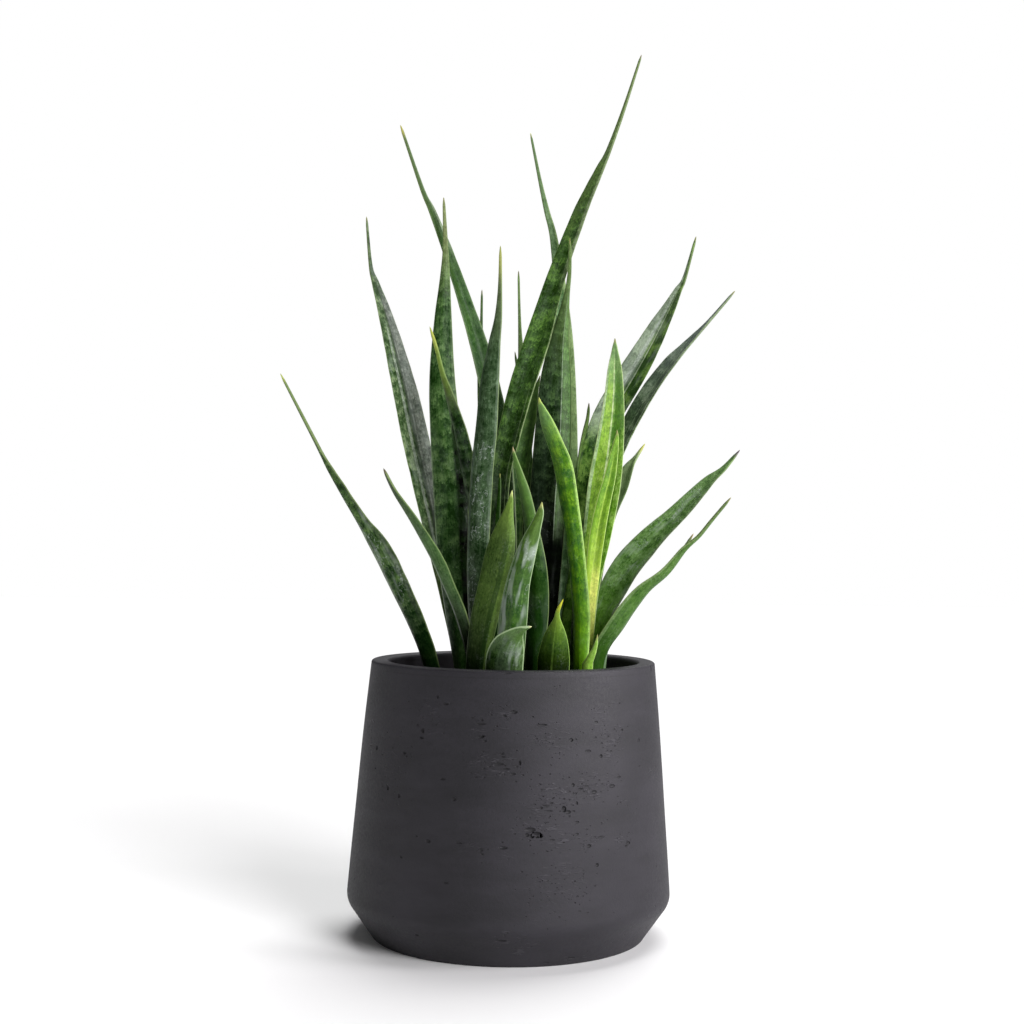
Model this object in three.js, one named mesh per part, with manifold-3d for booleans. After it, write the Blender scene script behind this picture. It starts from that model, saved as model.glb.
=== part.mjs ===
// A star sansevieria in a tapered cement pot.
// Millimetres, +Z up. The origin is the centre of the pot's underside, on the surface it stands on.
// The side that the photograph shows faces -Y, with +X to the right.

import * as THREE from 'three';
import { mergeVertices } from 'three/addons/utils/BufferGeometryUtils.js';
import Module from 'manifold-3d';

const wasm = await Module();
wasm.setup();

// Pot: outer shape, and a wall that follows it
const potHeight = 194;
const potBaseRadius = 97;
const potWidestRadius = 115;
const potWidestHeight = 26;
const potRimRadius = 101.3;
const potWall = 12.5;
const potFloor = 16;
const potShoulderRound = 14;
const potRimRound = 1.7;
const potLipRound = 2.6;
const potFootRound = 1.5;
const potInnerRound = 10;
const roundSegments = 64;

// Potting mix: filled to below the rim, a little heaped round the shoots
const soilHeight = 168;
const soilHeap = 4;
const soilHeapCentre = { x: 8, y: -10 };
const soilLump = 1.3;
const soilLumpSpacing = 22;
const soilFootChamfer = { wide: 11, high: 13 };
const soilRings = 9;

// Leaves: thick blades channelled on their inner face, each ending in a stiff round point.
// Edge shares are of the blade's thickness, channel shares of its width.
const leafThickAtFoot = 4.2;
const leafThickAtTip = 1.9;
const leafEdgeShare = 0.36;
const leafLeastEdge = 0.8;
const leafChannelAtFoot = 0.26;
const leafChannelAbove = 0.2;
const deepChannelReach = 0.4;
const pointWidth = 3.4;
const bladeWidth = 6.8;
const pointEdgeShare = 0.5;
const longStretch = 46;

// Clearance between pieces that touch
const seat = 0.3;
const footHoleSeat = 0.95;

// Each leaf: turn is the way its inner face looks, in degrees, from foot to tip, where 0 looks
// along -Y and 90 along +X. route goes from the buried foot to the tip: x, y, z and the blade's width.
const shoots = {
  left: {
    leaf_far_left: {
      turn: [126, 128, 108],
      route: [
        [-46, -12, 146, 13], [-56.8, -15, 190, 18], [-69.3, -19, 223, 22.5], [-86.8, -25, 260, 26.5],
        [-97, -28.5, 279, 24], [-106, -32, 293, 15.5], [-122, -39, 320, 10.5],
        [-131.5, -43, 337, 4.6], [-138, -47, 350, 2.6], [-159, -62, 392, 1.6],
      ],
    },
    leaf_left_tall: {
      turn: [40, 38, 30],
      route: [
        [-30, 12, 146, 12], [-36, 15, 189, 13], [-45.5, 17, 236, 17], [-59, 23, 294, 22.2],
        [-73, 32, 353, 24.4], [-84, 40, 399, 20.9], [-96.5, 50, 445, 13], [-105.5, 57, 474, 6.5],
        [-109.5, 60, 488, 3], [-114, 70, 527, 1.6],
      ],
    },
    leaf_left_inner: {
      turn: [165, 172, 180],
      route: [
        [-25, 0, 146, 14], [-33, 0, 190, 17], [-41.5, 0, 262, 24], [-45, 2, 312, 25],
        [-48.5, 4, 352, 23], [-52, 8, 396, 19], [-52, 13, 440, 13], [-51, 17, 472, 7.5],
        [-51, 20, 496, 4], [-53, 26, 533, 1.8],
      ],
    },
    leaf_left_front: {
      turn: [128, 120],
      route: [
        [-26, -41, 146, 10], [-26.5, -42, 191, 11], [-34, -44, 224, 13.5], [-45, -49, 252, 15],
        [-53, -55, 269, 15.5], [-67, -66, 293, 11], [-79, -76, 312, 5.5], [-86, -85, 327, 1.8],
      ],
    },
    leaf_slender: {
      turn: [150, 150],
      route: [
        [-19, -18, 146, 9], [-18, -17, 191, 10], [-19, -16, 223, 11], [-22, -18, 266, 13],
        [-27, -20, 308, 14], [-36, -24, 350, 11.5], [-44, -27, 378, 7.5], [-50, -29.5, 397, 4],
        [-54, -32, 413, 2.8], [-59, -34, 429, 1.6],
      ],
    },
  },
  middle: {
    leaf_waxy: {
      turn: [168, 165, 155],
      route: [
        [-20, -29, 146, 11], [-21, -30, 192, 12], [-24, -32, 252, 15.5], [-22, -34, 322, 16.5],
        [-19, -36, 357, 16], [-17, -38, 390, 14], [-14, -40, 415, 9.5], [-11, -41, 436, 5.5],
        [-10, -43, 456, 3], [-10, -46, 484, 1.6],
      ],
    },
    leaf_spear: {
      turn: [160, 160],
      route: [
        [-10, -24, 146, 5.5], [-10.5, -24.5, 192, 6], [-10.5, -25.5, 245, 6], [-10, -27, 290, 4],
        [-9, -27.5, 313, 2.6], [-8.7, -28, 327, 1.6],
      ],
    },
    leaf_tallest: {
      turn: [-10, -15, -25],
      route: [
        [-6, -11, 146, 11], [-7, -13, 191, 12], [-10, -15, 266, 14], [-9, -11, 323, 16],
        [-3, -7, 352, 17], [6, -1, 388, 19], [17.5, 7, 425, 19.5], [26, 15, 456, 16.2],
        [35.5, 24, 487, 13.8], [49.7, 36, 527, 11.3], [63, 47, 558, 7.5], [70, 53, 575, 4.6],
        [82, 66, 610, 3], [97, 86, 659, 1.6],
      ],
    },
    leaf_long_left: {
      turn: [15, 20, 30],
      route: [
        [-2, 8, 146, 9], [-2, 8, 190, 10], [-3, 9, 237, 12], [-4, 10, 285, 15],
        [-10, 14, 353, 16.5], [-21, 19, 405, 16], [-35, 24, 450, 12], [-50, 29, 493, 8.8],
        [-62, 33, 524, 6], [-69.5, 36, 541, 3.6], [-87, 44, 591, 1.8],
      ],
    },
    leaf_middle_back: {
      turn: [5, 5],
      route: [
        [4, 18, 146, 9], [4, 19, 190, 10], [3, 21, 235, 11], [2, 24, 288, 12], [4, 27, 325, 14.5],
        [8.5, 29, 354, 13], [13, 31, 374, 9], [17, 33, 392, 3.8], [20, 34, 403, 1.6],
      ],
    },
  },
  front: {
    leaf_olive: {
      turn: [172, 165],
      route: [
        [-24, -54, 146, 13], [-23, -55, 192, 16], [-19, -56, 223, 19], [-13, -57, 249, 20.5],
        [-9, -59, 268, 20.5], [-6, -61, 282, 17], [-3.5, -63, 295, 9.5], [-1.5, -64.5, 304, 5],
        [0, -66, 314, 2],
      ],
    },
    leaf_glossy: {
      turn: [172, 160],
      route: [
        [-1, -62, 146, 15], [-1, -64, 192, 19], [1, -66, 226, 20], [4, -69, 250, 17],
        [8, -71, 266, 15], [12, -73, 279, 12], [16, -75, 290, 8], [19, -76.5, 299, 5],
        [20, -78, 306, 2.2],
      ],
    },
    leaf_curled: {
      turn: [180, 185],
      route: [
        [-4, -71, 146, 22], [-4, -75, 178, 24], [-4, -80, 196, 25.5], [-2.5, -85, 206, 24],
        [0, -90, 213, 19], [4, -95, 218.5, 11], [9, -98, 222, 5], [14, -100, 223.5, 1.8],
      ],
    },
    leaf_broad: {
      turn: [178, 175],
      route: [
        [28, -61, 146, 18], [29, -64, 192, 22], [29.5, -67, 204, 20.5], [30, -69, 213, 17],
        [30.5, -71, 219, 12.5], [31, -74, 227, 5], [31.5, -76, 233, 2.8], [35, -80, 241, 1.6],
      ],
    },
    leaf_leaning: {
      turn: [170, 160],
      route: [
        [15, -43, 146, 11], [16, -44, 193, 13], [18, -44, 230, 16], [17, -46, 260, 15],
        [13, -49, 290, 10.5], [9, -51, 311, 8], [5, -53, 325, 5.5], [1.5, -55, 337, 3],
        [0, -56, 344, 1.6],
      ],
    },
  },
  bright: {
    leaf_bright_front: {
      turn: [160, 158],
      route: [
        [48, -46, 146, 9], [48, -47, 192, 11], [48.5, -46, 225, 12.5], [46, -45, 255, 12.5],
        [42, -47, 288, 13], [38, -48, 312, 14], [34.5, -50, 331, 14], [29, -53, 346, 12],
        [23, -55, 361, 9.5], [19, -57, 372, 4.5], [17.5, -58, 378, 1.8],
      ],
    },
    leaf_bright_outer: {
      turn: [0, -3],
      route: [
        [51, -20, 146, 10], [51.5, -21, 193, 12], [53, -21, 229, 14], [55, -21, 255, 17],
        [60, -20, 283, 20], [65, -19, 319, 23], [69, -18, 350, 19.5], [71.5, -17, 380, 14.5],
        [72, -15, 402, 10.3], [72, -14.5, 416, 4.6], [72, -14, 425, 1.8],
      ],
    },
    leaf_bright_inner: {
      turn: [10, 10],
      route: [
        [53, -30, 146, 8], [53, -31, 193, 9], [54, -31, 225, 9.5], [57, -31, 262, 10.5],
        [60, -30.5, 287, 11], [64, -30.5, 308, 10], [68, -30, 324, 8.5], [71, -30, 341, 6],
        [73, -30, 353, 3], [73, -30, 358.5, 1.6],
      ],
    },
    leaf_bright_sheath: {
      turn: [180, 180],
      route: [
        [51, -57, 146, 7], [52.5, -59, 193, 7.5], [54, -60, 199, 5.8], [56.5, -61, 205, 4],
        [58, -62, 210, 2.6], [59, -64, 217, 1.6],
      ],
    },
  },
  right: {
    leaf_wide: {
      turn: [178, 178],
      route: [
        [24, 8, 146, 13], [24, 8, 190, 14], [25, 8, 236, 18.5], [25, 9, 270, 24],
        [26, 11, 309, 27], [29, 15, 353, 27], [31, 18, 397, 23], [33.5, 18.5, 427, 14],
        [38, 16, 457, 5], [40, 14, 474, 3], [40.3, 13, 488, 2.4], [40, 12, 501, 1.6],
      ],
    },
    leaf_right_wide: {
      turn: [-15, -25, -35],
      route: [
        [37, 16, 146, 11], [38, 17, 189, 12], [43, 19, 222, 12.5], [50, 22, 265, 14],
        [53, 25, 297, 16], [59, 30, 335, 20], [70, 34, 370, 24], [87, 40, 400, 25.2],
        [104, 45, 431, 20.2], [116, 49, 454, 13], [124, 53, 470, 7], [129, 55, 481, 3.4],
        [138, 62, 513, 1.6],
      ],
    },
    leaf_right_narrow: {
      turn: [-55, -50, -45],
      route: [
        [46, 3, 146, 11], [47, 3, 190, 12], [49, 3, 223, 12.5], [52, 4, 259, 13.5],
        [58, 6, 295, 15], [67, 9, 323.5, 18], [83, 12, 359.5, 18], [100, 15.5, 390, 17.3],
        [116.5, 18, 412.5, 14], [130, 20, 428, 8], [144, 23, 443.5, 3], [163, 26, 466, 1.6],
      ],
    },
    leaf_right_short: {
      turn: [-45, -45],
      route: [
        [57, 10, 146, 9], [57, 10, 190, 10], [59, 10, 223, 11], [62, 11, 252, 12],
        [67, 12, 281, 13], [72, 13, 300, 14], [79, 14, 317, 15], [84, 15, 331, 12],
        [89, 16, 340, 5], [93, 17, 346, 2.6], [97, 18, 352, 1.6],
      ],
    },
    leaf_right_low: {
      turn: [-40, -35, -30],
      route: [
        [60, -11, 146, 12], [61, -13, 192, 14.5], [63.5, -15, 222.5, 18.5], [71, -16, 241, 22],
        [81, -18, 259.5, 23.5], [92, -20, 273.5, 22.5], [104.3, -22, 287, 19], [118, -24, 300.5, 15.5],
        [131.5, -27, 315.3, 11.5], [138.8, -29, 323.3, 8.5], [147.8, -31, 331.5, 4.5], [159, -34, 345, 1.6],
      ],
    },
    leaf_right_front: {
      turn: [-130, -125],
      route: [
        [58, -38, 146, 11.5], [60.5, -40, 190, 13.5], [64.5, -42, 207, 18.5], [73, -44, 220, 22.5],
        [81, -48, 233, 22], [92, -53, 247.5, 18], [105.5, -59, 259.5, 12.5], [117, -67, 275, 7],
        [126, -73, 284, 3.6], [134, -80, 295, 2.6], [145, -92, 310, 1.6],
      ],
    },
    leaf_right_small: {
      turn: [-120, -120],
      route: [
        [63.5, -25, 146, 8], [64, -26, 188, 9], [68, -29, 211, 9], [79, -35, 234, 10],
        [92, -41, 248.5, 8.5], [104, -46, 259, 7], [113, -51, 269, 4.5], [119, -55, 277, 2.6],
        [124, -60, 286, 1.6],
      ],
    },
  },
  back: {
    leaf_back_tall: {
      turn: [10, 10],
      route: [
        [36, 32, 146, 12], [37, 32, 190, 13], [38, 32, 236, 15], [39, 34, 295, 18],
        [38, 38, 356, 20], [37, 44, 415, 17], [35, 50, 461, 11], [29.5, 58, 508, 6.2],
        [24, 62, 531, 4.4], [18.5, 67, 556, 2.8], [11, 74, 594, 1.6],
      ],
    },
    leaf_back_left: {
      turn: [20, 20],
      route: [
        [-11, 24, 146, 9], [-13, 27, 190, 10], [-16, 31, 265, 11], [-20, 37, 347, 12],
        [-23, 43, 400, 9], [-24, 46, 421, 4.5], [-24.5, 48, 436, 2.4], [-24.5, 52, 469, 1.6],
      ],
    },
    leaf_back_middle: {
      turn: [-10, -10],
      route: [
        [8, 33, 146, 9], [10, 35, 190, 10], [10, 40, 280, 12], [9, 46, 345, 12],
        [7, 53, 402, 7.5], [5, 57, 430, 3.6], [4, 61, 452, 2.2], [3, 66, 486, 1.6],
      ],
    },
    leaf_back_short: {
      turn: [5, 5],
      route: [
        [1, 46, 146, 8], [3, 47, 190, 9], [7, 51, 265, 10], [8.5, 56, 335, 10],
        [7, 59, 374, 7], [4, 62, 402, 3], [0.8, 64, 424, 1.6],
      ],
    },
    leaf_back_right: {
      turn: [55, 50],
      route: [
        [36, 43, 146, 9], [38, 45, 190, 10], [41, 49, 240, 11], [46, 55, 296, 11],
        [51, 61, 338, 8.5], [54, 65, 359, 6], [57, 68, 374, 3], [58, 70, 386, 1.6],
      ],
    },
  },
};

// Leaf colours by shoot: mature leaves are dark grey-green, the young shoot is yellow-green
const leafColour = {
  left: 0x5f7350,
  middle: 0x5c7050,
  front: 0x7d8f55,
  bright: 0xa2b35c,
  right: 0x58704a,
  back: 0x566a4a,
};

// A closed solid from a position-only geometry, and back
function toSolid(geometry) {
  const bare = geometry.clone();
  bare.deleteAttribute('normal');
  bare.deleteAttribute('uv');
  const merged = mergeVertices(bare, 1e-4);
  const mesh = new wasm.Mesh({
    numProp: 3,
    vertProperties: new Float32Array(merged.attributes.position.array),
    triVerts: new Uint32Array(merged.index.array),
  });
  mesh.merge();
  return new wasm.Manifold(mesh);
}

function toGeometry(solid) {
  const mesh = solid.getMesh();
  const geometry = new THREE.BufferGeometry();
  geometry.setAttribute('position', new THREE.BufferAttribute(new Float32Array(mesh.vertProperties), 3));
  geometry.setIndex(new THREE.BufferAttribute(new Uint32Array(mesh.triVerts), 1));
  geometry.computeVertexNormals();
  return geometry;
}

// The points of an arc that rounds the corner b between a and c
function roundedCorner(a, b, c, radius, steps) {
  const toA = a.clone().sub(b).normalize();
  const toC = c.clone().sub(b).normalize();
  const half = Math.acos(toA.dot(toC)) / 2;
  const middle = toA.clone().add(toC).normalize();
  const centre = b.clone().addScaledVector(middle, radius / Math.sin(half));
  const reach = radius / Math.tan(half);
  const from = b.clone().addScaledVector(toA, reach).sub(centre);
  const sweep = Math.PI - 2 * half;
  const way = Math.sign(toA.x * toC.y - toA.y * toC.x) || 1;
  const points = [];
  for (let i = 0; i <= steps; i++) {
    const angle = (-way * sweep * i) / steps;
    const arm = from.clone().rotateAround(new THREE.Vector2(), angle);
    points.push(centre.clone().add(arm));
  }
  return points;
}

// The wall's slope, as the radius lost for each millimetre of height
const wallSlope = (potWidestRadius - potRimRadius) / (potHeight - potWidestHeight);

function innerRadiusAt(height) {
  return potWidestRadius - potWall - wallSlope * (height - potWidestHeight);
}

// A profile turned round the Z axis
function turned(profile) {
  const geometry = new THREE.LatheGeometry(profile, roundSegments);
  geometry.rotateX(Math.PI / 2);
  return geometry;
}

function makePot() {
  const foot = new THREE.Vector2(potBaseRadius, 0);
  const widest = new THREE.Vector2(potWidestRadius, potWidestHeight);
  const rimOut = new THREE.Vector2(potRimRadius, potHeight);
  const rimIn = new THREE.Vector2(innerRadiusAt(potHeight), potHeight);
  const innerFoot = new THREE.Vector2(innerRadiusAt(potFloor), potFloor);
  const axisLow = new THREE.Vector2(0, 0);
  const axisFloor = new THREE.Vector2(0, potFloor);
  const profile = [
    axisLow,
    ...roundedCorner(axisLow, foot, widest, potFootRound, 2),
    ...roundedCorner(foot, widest, rimOut, potShoulderRound, 5),
    ...roundedCorner(widest, rimOut, rimIn, potRimRound, 3),
    ...roundedCorner(rimOut, rimIn, innerFoot, potLipRound, 3),
    ...roundedCorner(rimIn, innerFoot, axisFloor, potInnerRound, 3),
    axisFloor,
  ];
  return toSolid(turned(profile));
}

// The mix's surface: heaped towards the shoots, with low lumps
function soilTop(x, y) {
  const away = Math.hypot(x - soilHeapCentre.x, y - soilHeapCentre.y) / innerRadiusAt(soilHeight);
  const heap = soilHeap * Math.max(0, 1 - away * away);
  const wave = (2 * Math.PI) / soilLumpSpacing;
  const lumps = Math.sin(x * wave) * Math.cos(y * wave) + Math.sin(((x - y) * wave) / 2) / 2;
  return soilHeight + heap + soilLump * lumps;
}

function makeSoil() {
  const low = potFloor + seat;
  const sideLow = low + soilFootChamfer.high;
  const sideRadius = innerRadiusAt(sideLow) - seat;
  const topRadius = innerRadiusAt(soilHeight) - seat * 2;
  const positions = [];
  const index = [];
  const ring = (radiusAt, heightAt) => {
    const start = positions.length / 3;
    for (let i = 0; i < roundSegments; i++) {
      const angle = (i / roundSegments) * Math.PI * 2;
      const x = radiusAt * Math.sin(angle);
      const y = -radiusAt * Math.cos(angle);
      positions.push(x, y, heightAt(x, y));
    }
    return start;
  };
  const join = (below, above) => {
    for (let i = 0; i < roundSegments; i++) {
      const j = (i + 1) % roundSegments;
      index.push(below + i, below + j, above + j, below + i, above + j, above + i);
    }
  };
  const centreLow = 0;
  positions.push(0, 0, low);
  let last = ring(sideRadius - soilFootChamfer.wide, () => low);
  for (let i = 0; i < roundSegments; i++) {
    index.push(centreLow, last + ((i + 1) % roundSegments), last + i);
  }
  const side = ring(sideRadius, () => sideLow);
  join(last, side);
  last = side;
  for (let k = 0; k <= soilRings; k++) {
    const next = ring(topRadius * (1 - k / (soilRings + 1)), soilTop);
    join(last, next);
    last = next;
  }
  const centreTop = positions.length / 3;
  positions.push(0, 0, soilTop(0, 0));
  for (let i = 0; i < roundSegments; i++) {
    index.push(last + i, last + ((i + 1) % roundSegments), centreTop);
  }
  const geometry = new THREE.BufferGeometry();
  geometry.setAttribute('position', new THREE.Float32BufferAttribute(positions, 3));
  geometry.setIndex(index);
  return toSolid(geometry);
}

// The route's values a share of the way from point i to point i + 1, on a smooth curve
function between(route, i, share) {
  const before = route[Math.max(i - 1, 0)];
  const from = route[i];
  const to = route[i + 1];
  const after = route[Math.min(i + 2, route.length - 1)];
  return from.map((value, k) => {
    const leave = (to[k] - before[k]) / 2;
    const arrive = (after[k] - value) / 2;
    const t = share;
    return (
      (2 * t ** 3 - 3 * t ** 2 + 1) * value +
      (t ** 3 - 2 * t ** 2 + t) * leave +
      (-2 * t ** 3 + 3 * t ** 2) * to[k] +
      (t ** 3 - t ** 2) * arrive
    );
  });
}

// Every route point is a station, and long stretches have one more in the middle
function stationsOf(route) {
  const stations = [];
  for (let i = 0; i < route.length - 1; i++) {
    stations.push(route[i]);
    const a = new THREE.Vector3(...route[i]);
    const b = new THREE.Vector3(...route[i + 1]);
    if (a.distanceTo(b) > longStretch) {
      stations.push(between(route, i, 0.5));
    }
  }
  stations.push(route[route.length - 1]);
  return stations;
}

// The turn at a share of the leaf's length, from values spaced evenly along it
function turnAt(turn, share) {
  const place = share * (turn.length - 1);
  const i = Math.min(Math.floor(place), turn.length - 2);
  return THREE.MathUtils.degToRad(THREE.MathUtils.lerp(turn[i], turn[i + 1], place - i));
}

// The section's corners: across the blade from edge to edge, and on the inner (1) or outer (-1) face
const sectionCorners = [
  [-1, 1], [-0.5, 1], [0.5, 1], [1, 1],
  [1, -1], [0.5, -1], [-0.5, -1], [-1, -1],
];

// A leaf blade: an eight-sided channelled section at each station, grown by a margin on every side
function makeLeaf({ turn, route }, margin = 0) {
  const stations = stationsOf(route);
  const centres = stations.map((s) => new THREE.Vector3(s[0], s[1], s[2]));
  centres[0].z -= margin;
  const lengths = [0];
  for (let i = 1; i < centres.length; i++) {
    lengths.push(lengths[i - 1] + centres[i].distanceTo(centres[i - 1]));
  }
  const whole = lengths[lengths.length - 1];
  const positions = [];
  stations.forEach((station, i) => {
    const share = lengths[i] / whole;
    const tangent = centres[Math.min(i + 1, centres.length - 1)]
      .clone()
      .sub(centres[Math.max(i - 1, 0)])
      .normalize();
    const angle = turnAt(turn, share);
    const across = new THREE.Vector3(Math.cos(angle), Math.sin(angle), 0);
    across.addScaledVector(tangent, -across.dot(tangent)).normalize();
    const inward = across.clone().cross(tangent);
    const width = station[3];
    const flat = THREE.MathUtils.smoothstep(width, pointWidth, bladeWidth);
    const thickness = Math.min(width, THREE.MathUtils.lerp(leafThickAtFoot, leafThickAtTip, share));
    const opened = Math.min(share / deepChannelReach, 1);
    const channel = width * flat * THREE.MathUtils.lerp(leafChannelAtFoot, leafChannelAbove, opened);
    const edgeShare = THREE.MathUtils.lerp(pointEdgeShare, leafEdgeShare, flat);
    const edge = Math.max(leafLeastEdge, thickness * edgeShare);
    for (const [v, face] of sectionCorners) {
      const side = Math.abs(v) === 1;
      const deep = channel * (v * v - 0.5) + (face / 2) * (side ? edge : thickness) + face * margin;
      const wide = (v * width) / 2 + (side ? Math.sign(v) * margin : 0);
      const point = centres[i].clone().addScaledVector(across, wide).addScaledVector(inward, deep);
      positions.push(point.x, point.y, point.z);
    }
  });
  const corners = sectionCorners.length;
  const index = [];
  for (let s = 0; s < stations.length - 1; s++) {
    for (let k = 0; k < corners; k++) {
      const a = s * corners + k;
      const b = s * corners + ((k + 1) % corners);
      index.push(a, b, b + corners, a, b + corners, a + corners);
    }
  }
  // The two ends are closed by strips across the section, from edge to edge
  const strips = [[0, 1, 6], [0, 6, 7], [1, 2, 5], [1, 5, 6], [2, 3, 4], [2, 4, 5]];
  const end = (stations.length - 1) * corners;
  for (const [a, b, c] of strips) {
    index.push(a, c, b);
    index.push(end + a, end + b, end + c);
  }
  const geometry = new THREE.BufferGeometry();
  geometry.setAttribute('position', new THREE.Float32BufferAttribute(positions, 3));
  geometry.setIndex(index);
  return geometry;
}

function addPiece(group, name, geometry, colour, roughness) {
  const material = new THREE.MeshStandardMaterial({ color: colour, roughness, metalness: 0 });
  const mesh = new THREE.Mesh(geometry, material);
  mesh.name = name;
  group.add(mesh);
}

const plant = new THREE.Group();
addPiece(plant, 'pot', toGeometry(makePot()), 0x45434a, 0.85);

let soil = makeSoil();
for (const [shootName, leaves] of Object.entries(shoots)) {
  const shoot = new THREE.Group();
  for (const [leafName, leaf] of Object.entries(leaves)) {
    const solid = toSolid(makeLeaf(leaf));
    soil = soil.subtract(toSolid(makeLeaf(leaf, footHoleSeat)));
    addPiece(shoot, leafName, toGeometry(solid), leafColour[shootName], 0.5);
  }
  plant.add(shoot);
}
addPiece(plant, 'potting_mix', toGeometry(soil), 0x3a2d22, 1);

export default plant;
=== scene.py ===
# A potted star sansevieria: the finish of its cement pot, its potting mix and its leaves
import math
import bpy
from mathutils import Matrix, Vector, noise


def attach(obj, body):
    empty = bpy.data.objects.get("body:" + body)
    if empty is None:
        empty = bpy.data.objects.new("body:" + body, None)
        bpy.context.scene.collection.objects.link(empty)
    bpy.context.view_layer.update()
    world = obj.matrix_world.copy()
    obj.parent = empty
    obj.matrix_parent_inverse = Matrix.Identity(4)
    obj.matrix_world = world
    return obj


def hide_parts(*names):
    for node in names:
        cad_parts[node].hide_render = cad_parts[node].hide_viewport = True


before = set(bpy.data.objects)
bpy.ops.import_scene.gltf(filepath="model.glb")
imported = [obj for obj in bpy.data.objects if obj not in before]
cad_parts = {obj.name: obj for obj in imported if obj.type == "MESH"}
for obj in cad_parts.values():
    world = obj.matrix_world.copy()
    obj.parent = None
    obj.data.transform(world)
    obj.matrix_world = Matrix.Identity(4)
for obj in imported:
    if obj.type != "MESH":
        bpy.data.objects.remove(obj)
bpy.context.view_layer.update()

mm = 0.001
print("frame loaded:", len(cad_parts), "nodes")


# One output of a node. A sum of wires, such as a + b or 1 - a * 2, adds the math nodes that it needs.
class Wire:
    def __init__(self, socket):
        self.socket = socket
        self.tree = socket.id_data

    def __add__(self, other):
        return reckoned("ADD", self, other)

    def __sub__(self, other):
        return reckoned("SUBTRACT", self, other)

    def __rsub__(self, other):
        return reckoned("SUBTRACT", other, self)

    def __mul__(self, other):
        return reckoned("MULTIPLY", self, other)

    def __truediv__(self, other):
        return reckoned("DIVIDE", self, other)

    def __pow__(self, other):
        return reckoned("POWER", self, other)

    def __gt__(self, other):
        return reckoned("GREATER_THAN", self, other)

    def __lt__(self, other):
        return reckoned("LESS_THAN", self, other)

    def __abs__(self):
        return sums("ABSOLUTE", self)


# A value that goes into a node is a number, a tuple or a wire
def feed(socket, value):
    if isinstance(value, Wire):
        value.tree.links.new(value.socket, socket)
    else:
        socket.default_value = value


def addNode(tree, kind, inputs=None, **settings):
    made = tree.nodes.new(kind)
    for name, value in settings.items():
        setattr(made, name, value)
    for name, value in (inputs or {}).items():
        feed(made.inputs[name], value)
    return made


def wireFrom(tree, kind, inputs=None, output=0, **settings):
    return Wire(addNode(tree, kind, inputs, **settings).outputs[output])


def treeOf(values):
    return next(value.tree for value in values if isinstance(value, Wire))


def sums(operation, *values, clamp=False):
    inputs = dict(enumerate(values))
    return wireFrom(treeOf(values), "ShaderNodeMath", inputs, operation=operation, use_clamp=clamp)


def vectors(operation, *values):
    inputs = dict(zip((0, "Scale"), values)) if operation == "SCALE" else dict(enumerate(values))
    output = "Value" if operation in ("DOT_PRODUCT", "LENGTH") else "Vector"
    return wireFrom(treeOf(values), "ShaderNodeVectorMath", inputs, output, operation=operation)


def isVector(value):
    return isinstance(value, tuple) or isinstance(value, Wire) and value.socket.type in ("VECTOR", "RGBA")


# Numbers are reckoned with math nodes, and places and colours with vector math
def reckoned(operation, first, second):
    if not isVector(first):
        return sums(operation, first, second)
    if operation == "MULTIPLY" and not isVector(second):
        operation = "SCALE"
    return vectors(operation, first, second)


def joined(x, y, z):
    return wireFrom(treeOf((x, y, z)), "ShaderNodeCombineXYZ", {"X": x, "Y": y, "Z": z})


def parted(place):
    return [Wire(socket) for socket in addNode(place.tree, "ShaderNodeSeparateXYZ", {0: place}).outputs]


def ramp(value, low, high, toLow=0.0, toHigh=1.0, smooth=True):
    inputs = {"Value": value, "From Min": low, "From Max": high, "To Min": toLow, "To Max": toHigh}
    kind = "SMOOTHSTEP" if smooth else "LINEAR"
    return wireFrom(value.tree, "ShaderNodeMapRange", inputs, interpolation_type=kind)


def speckle(place, scale, detail=2.0, roughness=0.5):
    inputs = {"Vector": place, "Scale": scale, "Detail": detail, "Roughness": roughness}
    return wireFrom(place.tree, "ShaderNodeTexNoise", inputs)


def blended(share, first, second):
    inputs = {0: share, 6: first, 7: second}   # the sockets for colours
    return wireFrom(share.tree, "ShaderNodeMix", inputs, 2, data_type="RGBA")


def stored(geometry, name, value):
    inputs = {"Geometry": geometry, "Name": name, "Value": value}
    return wireFrom(geometry.tree, "GeometryNodeStoreNamedAttribute", inputs, data_type="FLOAT")


# The value of an attribute of the mesh: named reads it in a geometry tree, and carried in a material
def named(tree, name):
    return wireFrom(tree, "GeometryNodeInputNamedAttribute", {"Name": name}, data_type="FLOAT")


def carried(tree, name):
    return wireFrom(tree, "ShaderNodeAttribute", output="Fac", attribute_name=name)


# A geometry tree with a named input for each value: a number is its default, and a word is its kind
def newTree(name, values):
    tree = bpy.data.node_groups.new(name, "GeometryNodeTree")
    tree.interface.new_socket("Geometry", in_out="INPUT", socket_type="NodeSocketGeometry")
    tree.interface.new_socket("Geometry", in_out="OUTPUT", socket_type="NodeSocketGeometry")
    for label, value in values.items():
        kind = value if isinstance(value, str) else "Int" if isinstance(value, int) else "Float"
        socket = tree.interface.new_socket(label, in_out="INPUT", socket_type="NodeSocket" + kind)
        if kind != value:
            socket.default_value = value
    outputs = tree.nodes.new("NodeGroupInput").outputs
    return tree, {label: Wire(outputs[label]) for label in ("Geometry", *values)}


def endTree(geometry, material):
    realized = wireFrom(geometry.tree, "GeometryNodeRealizeInstances", {"Geometry": geometry})
    inputs = {"Geometry": realized, "Material": material}
    finished = wireFrom(geometry.tree, "GeometryNodeSetMaterial", inputs)
    feed(geometry.tree.nodes.new("NodeGroupOutput").inputs[0], finished)


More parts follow.
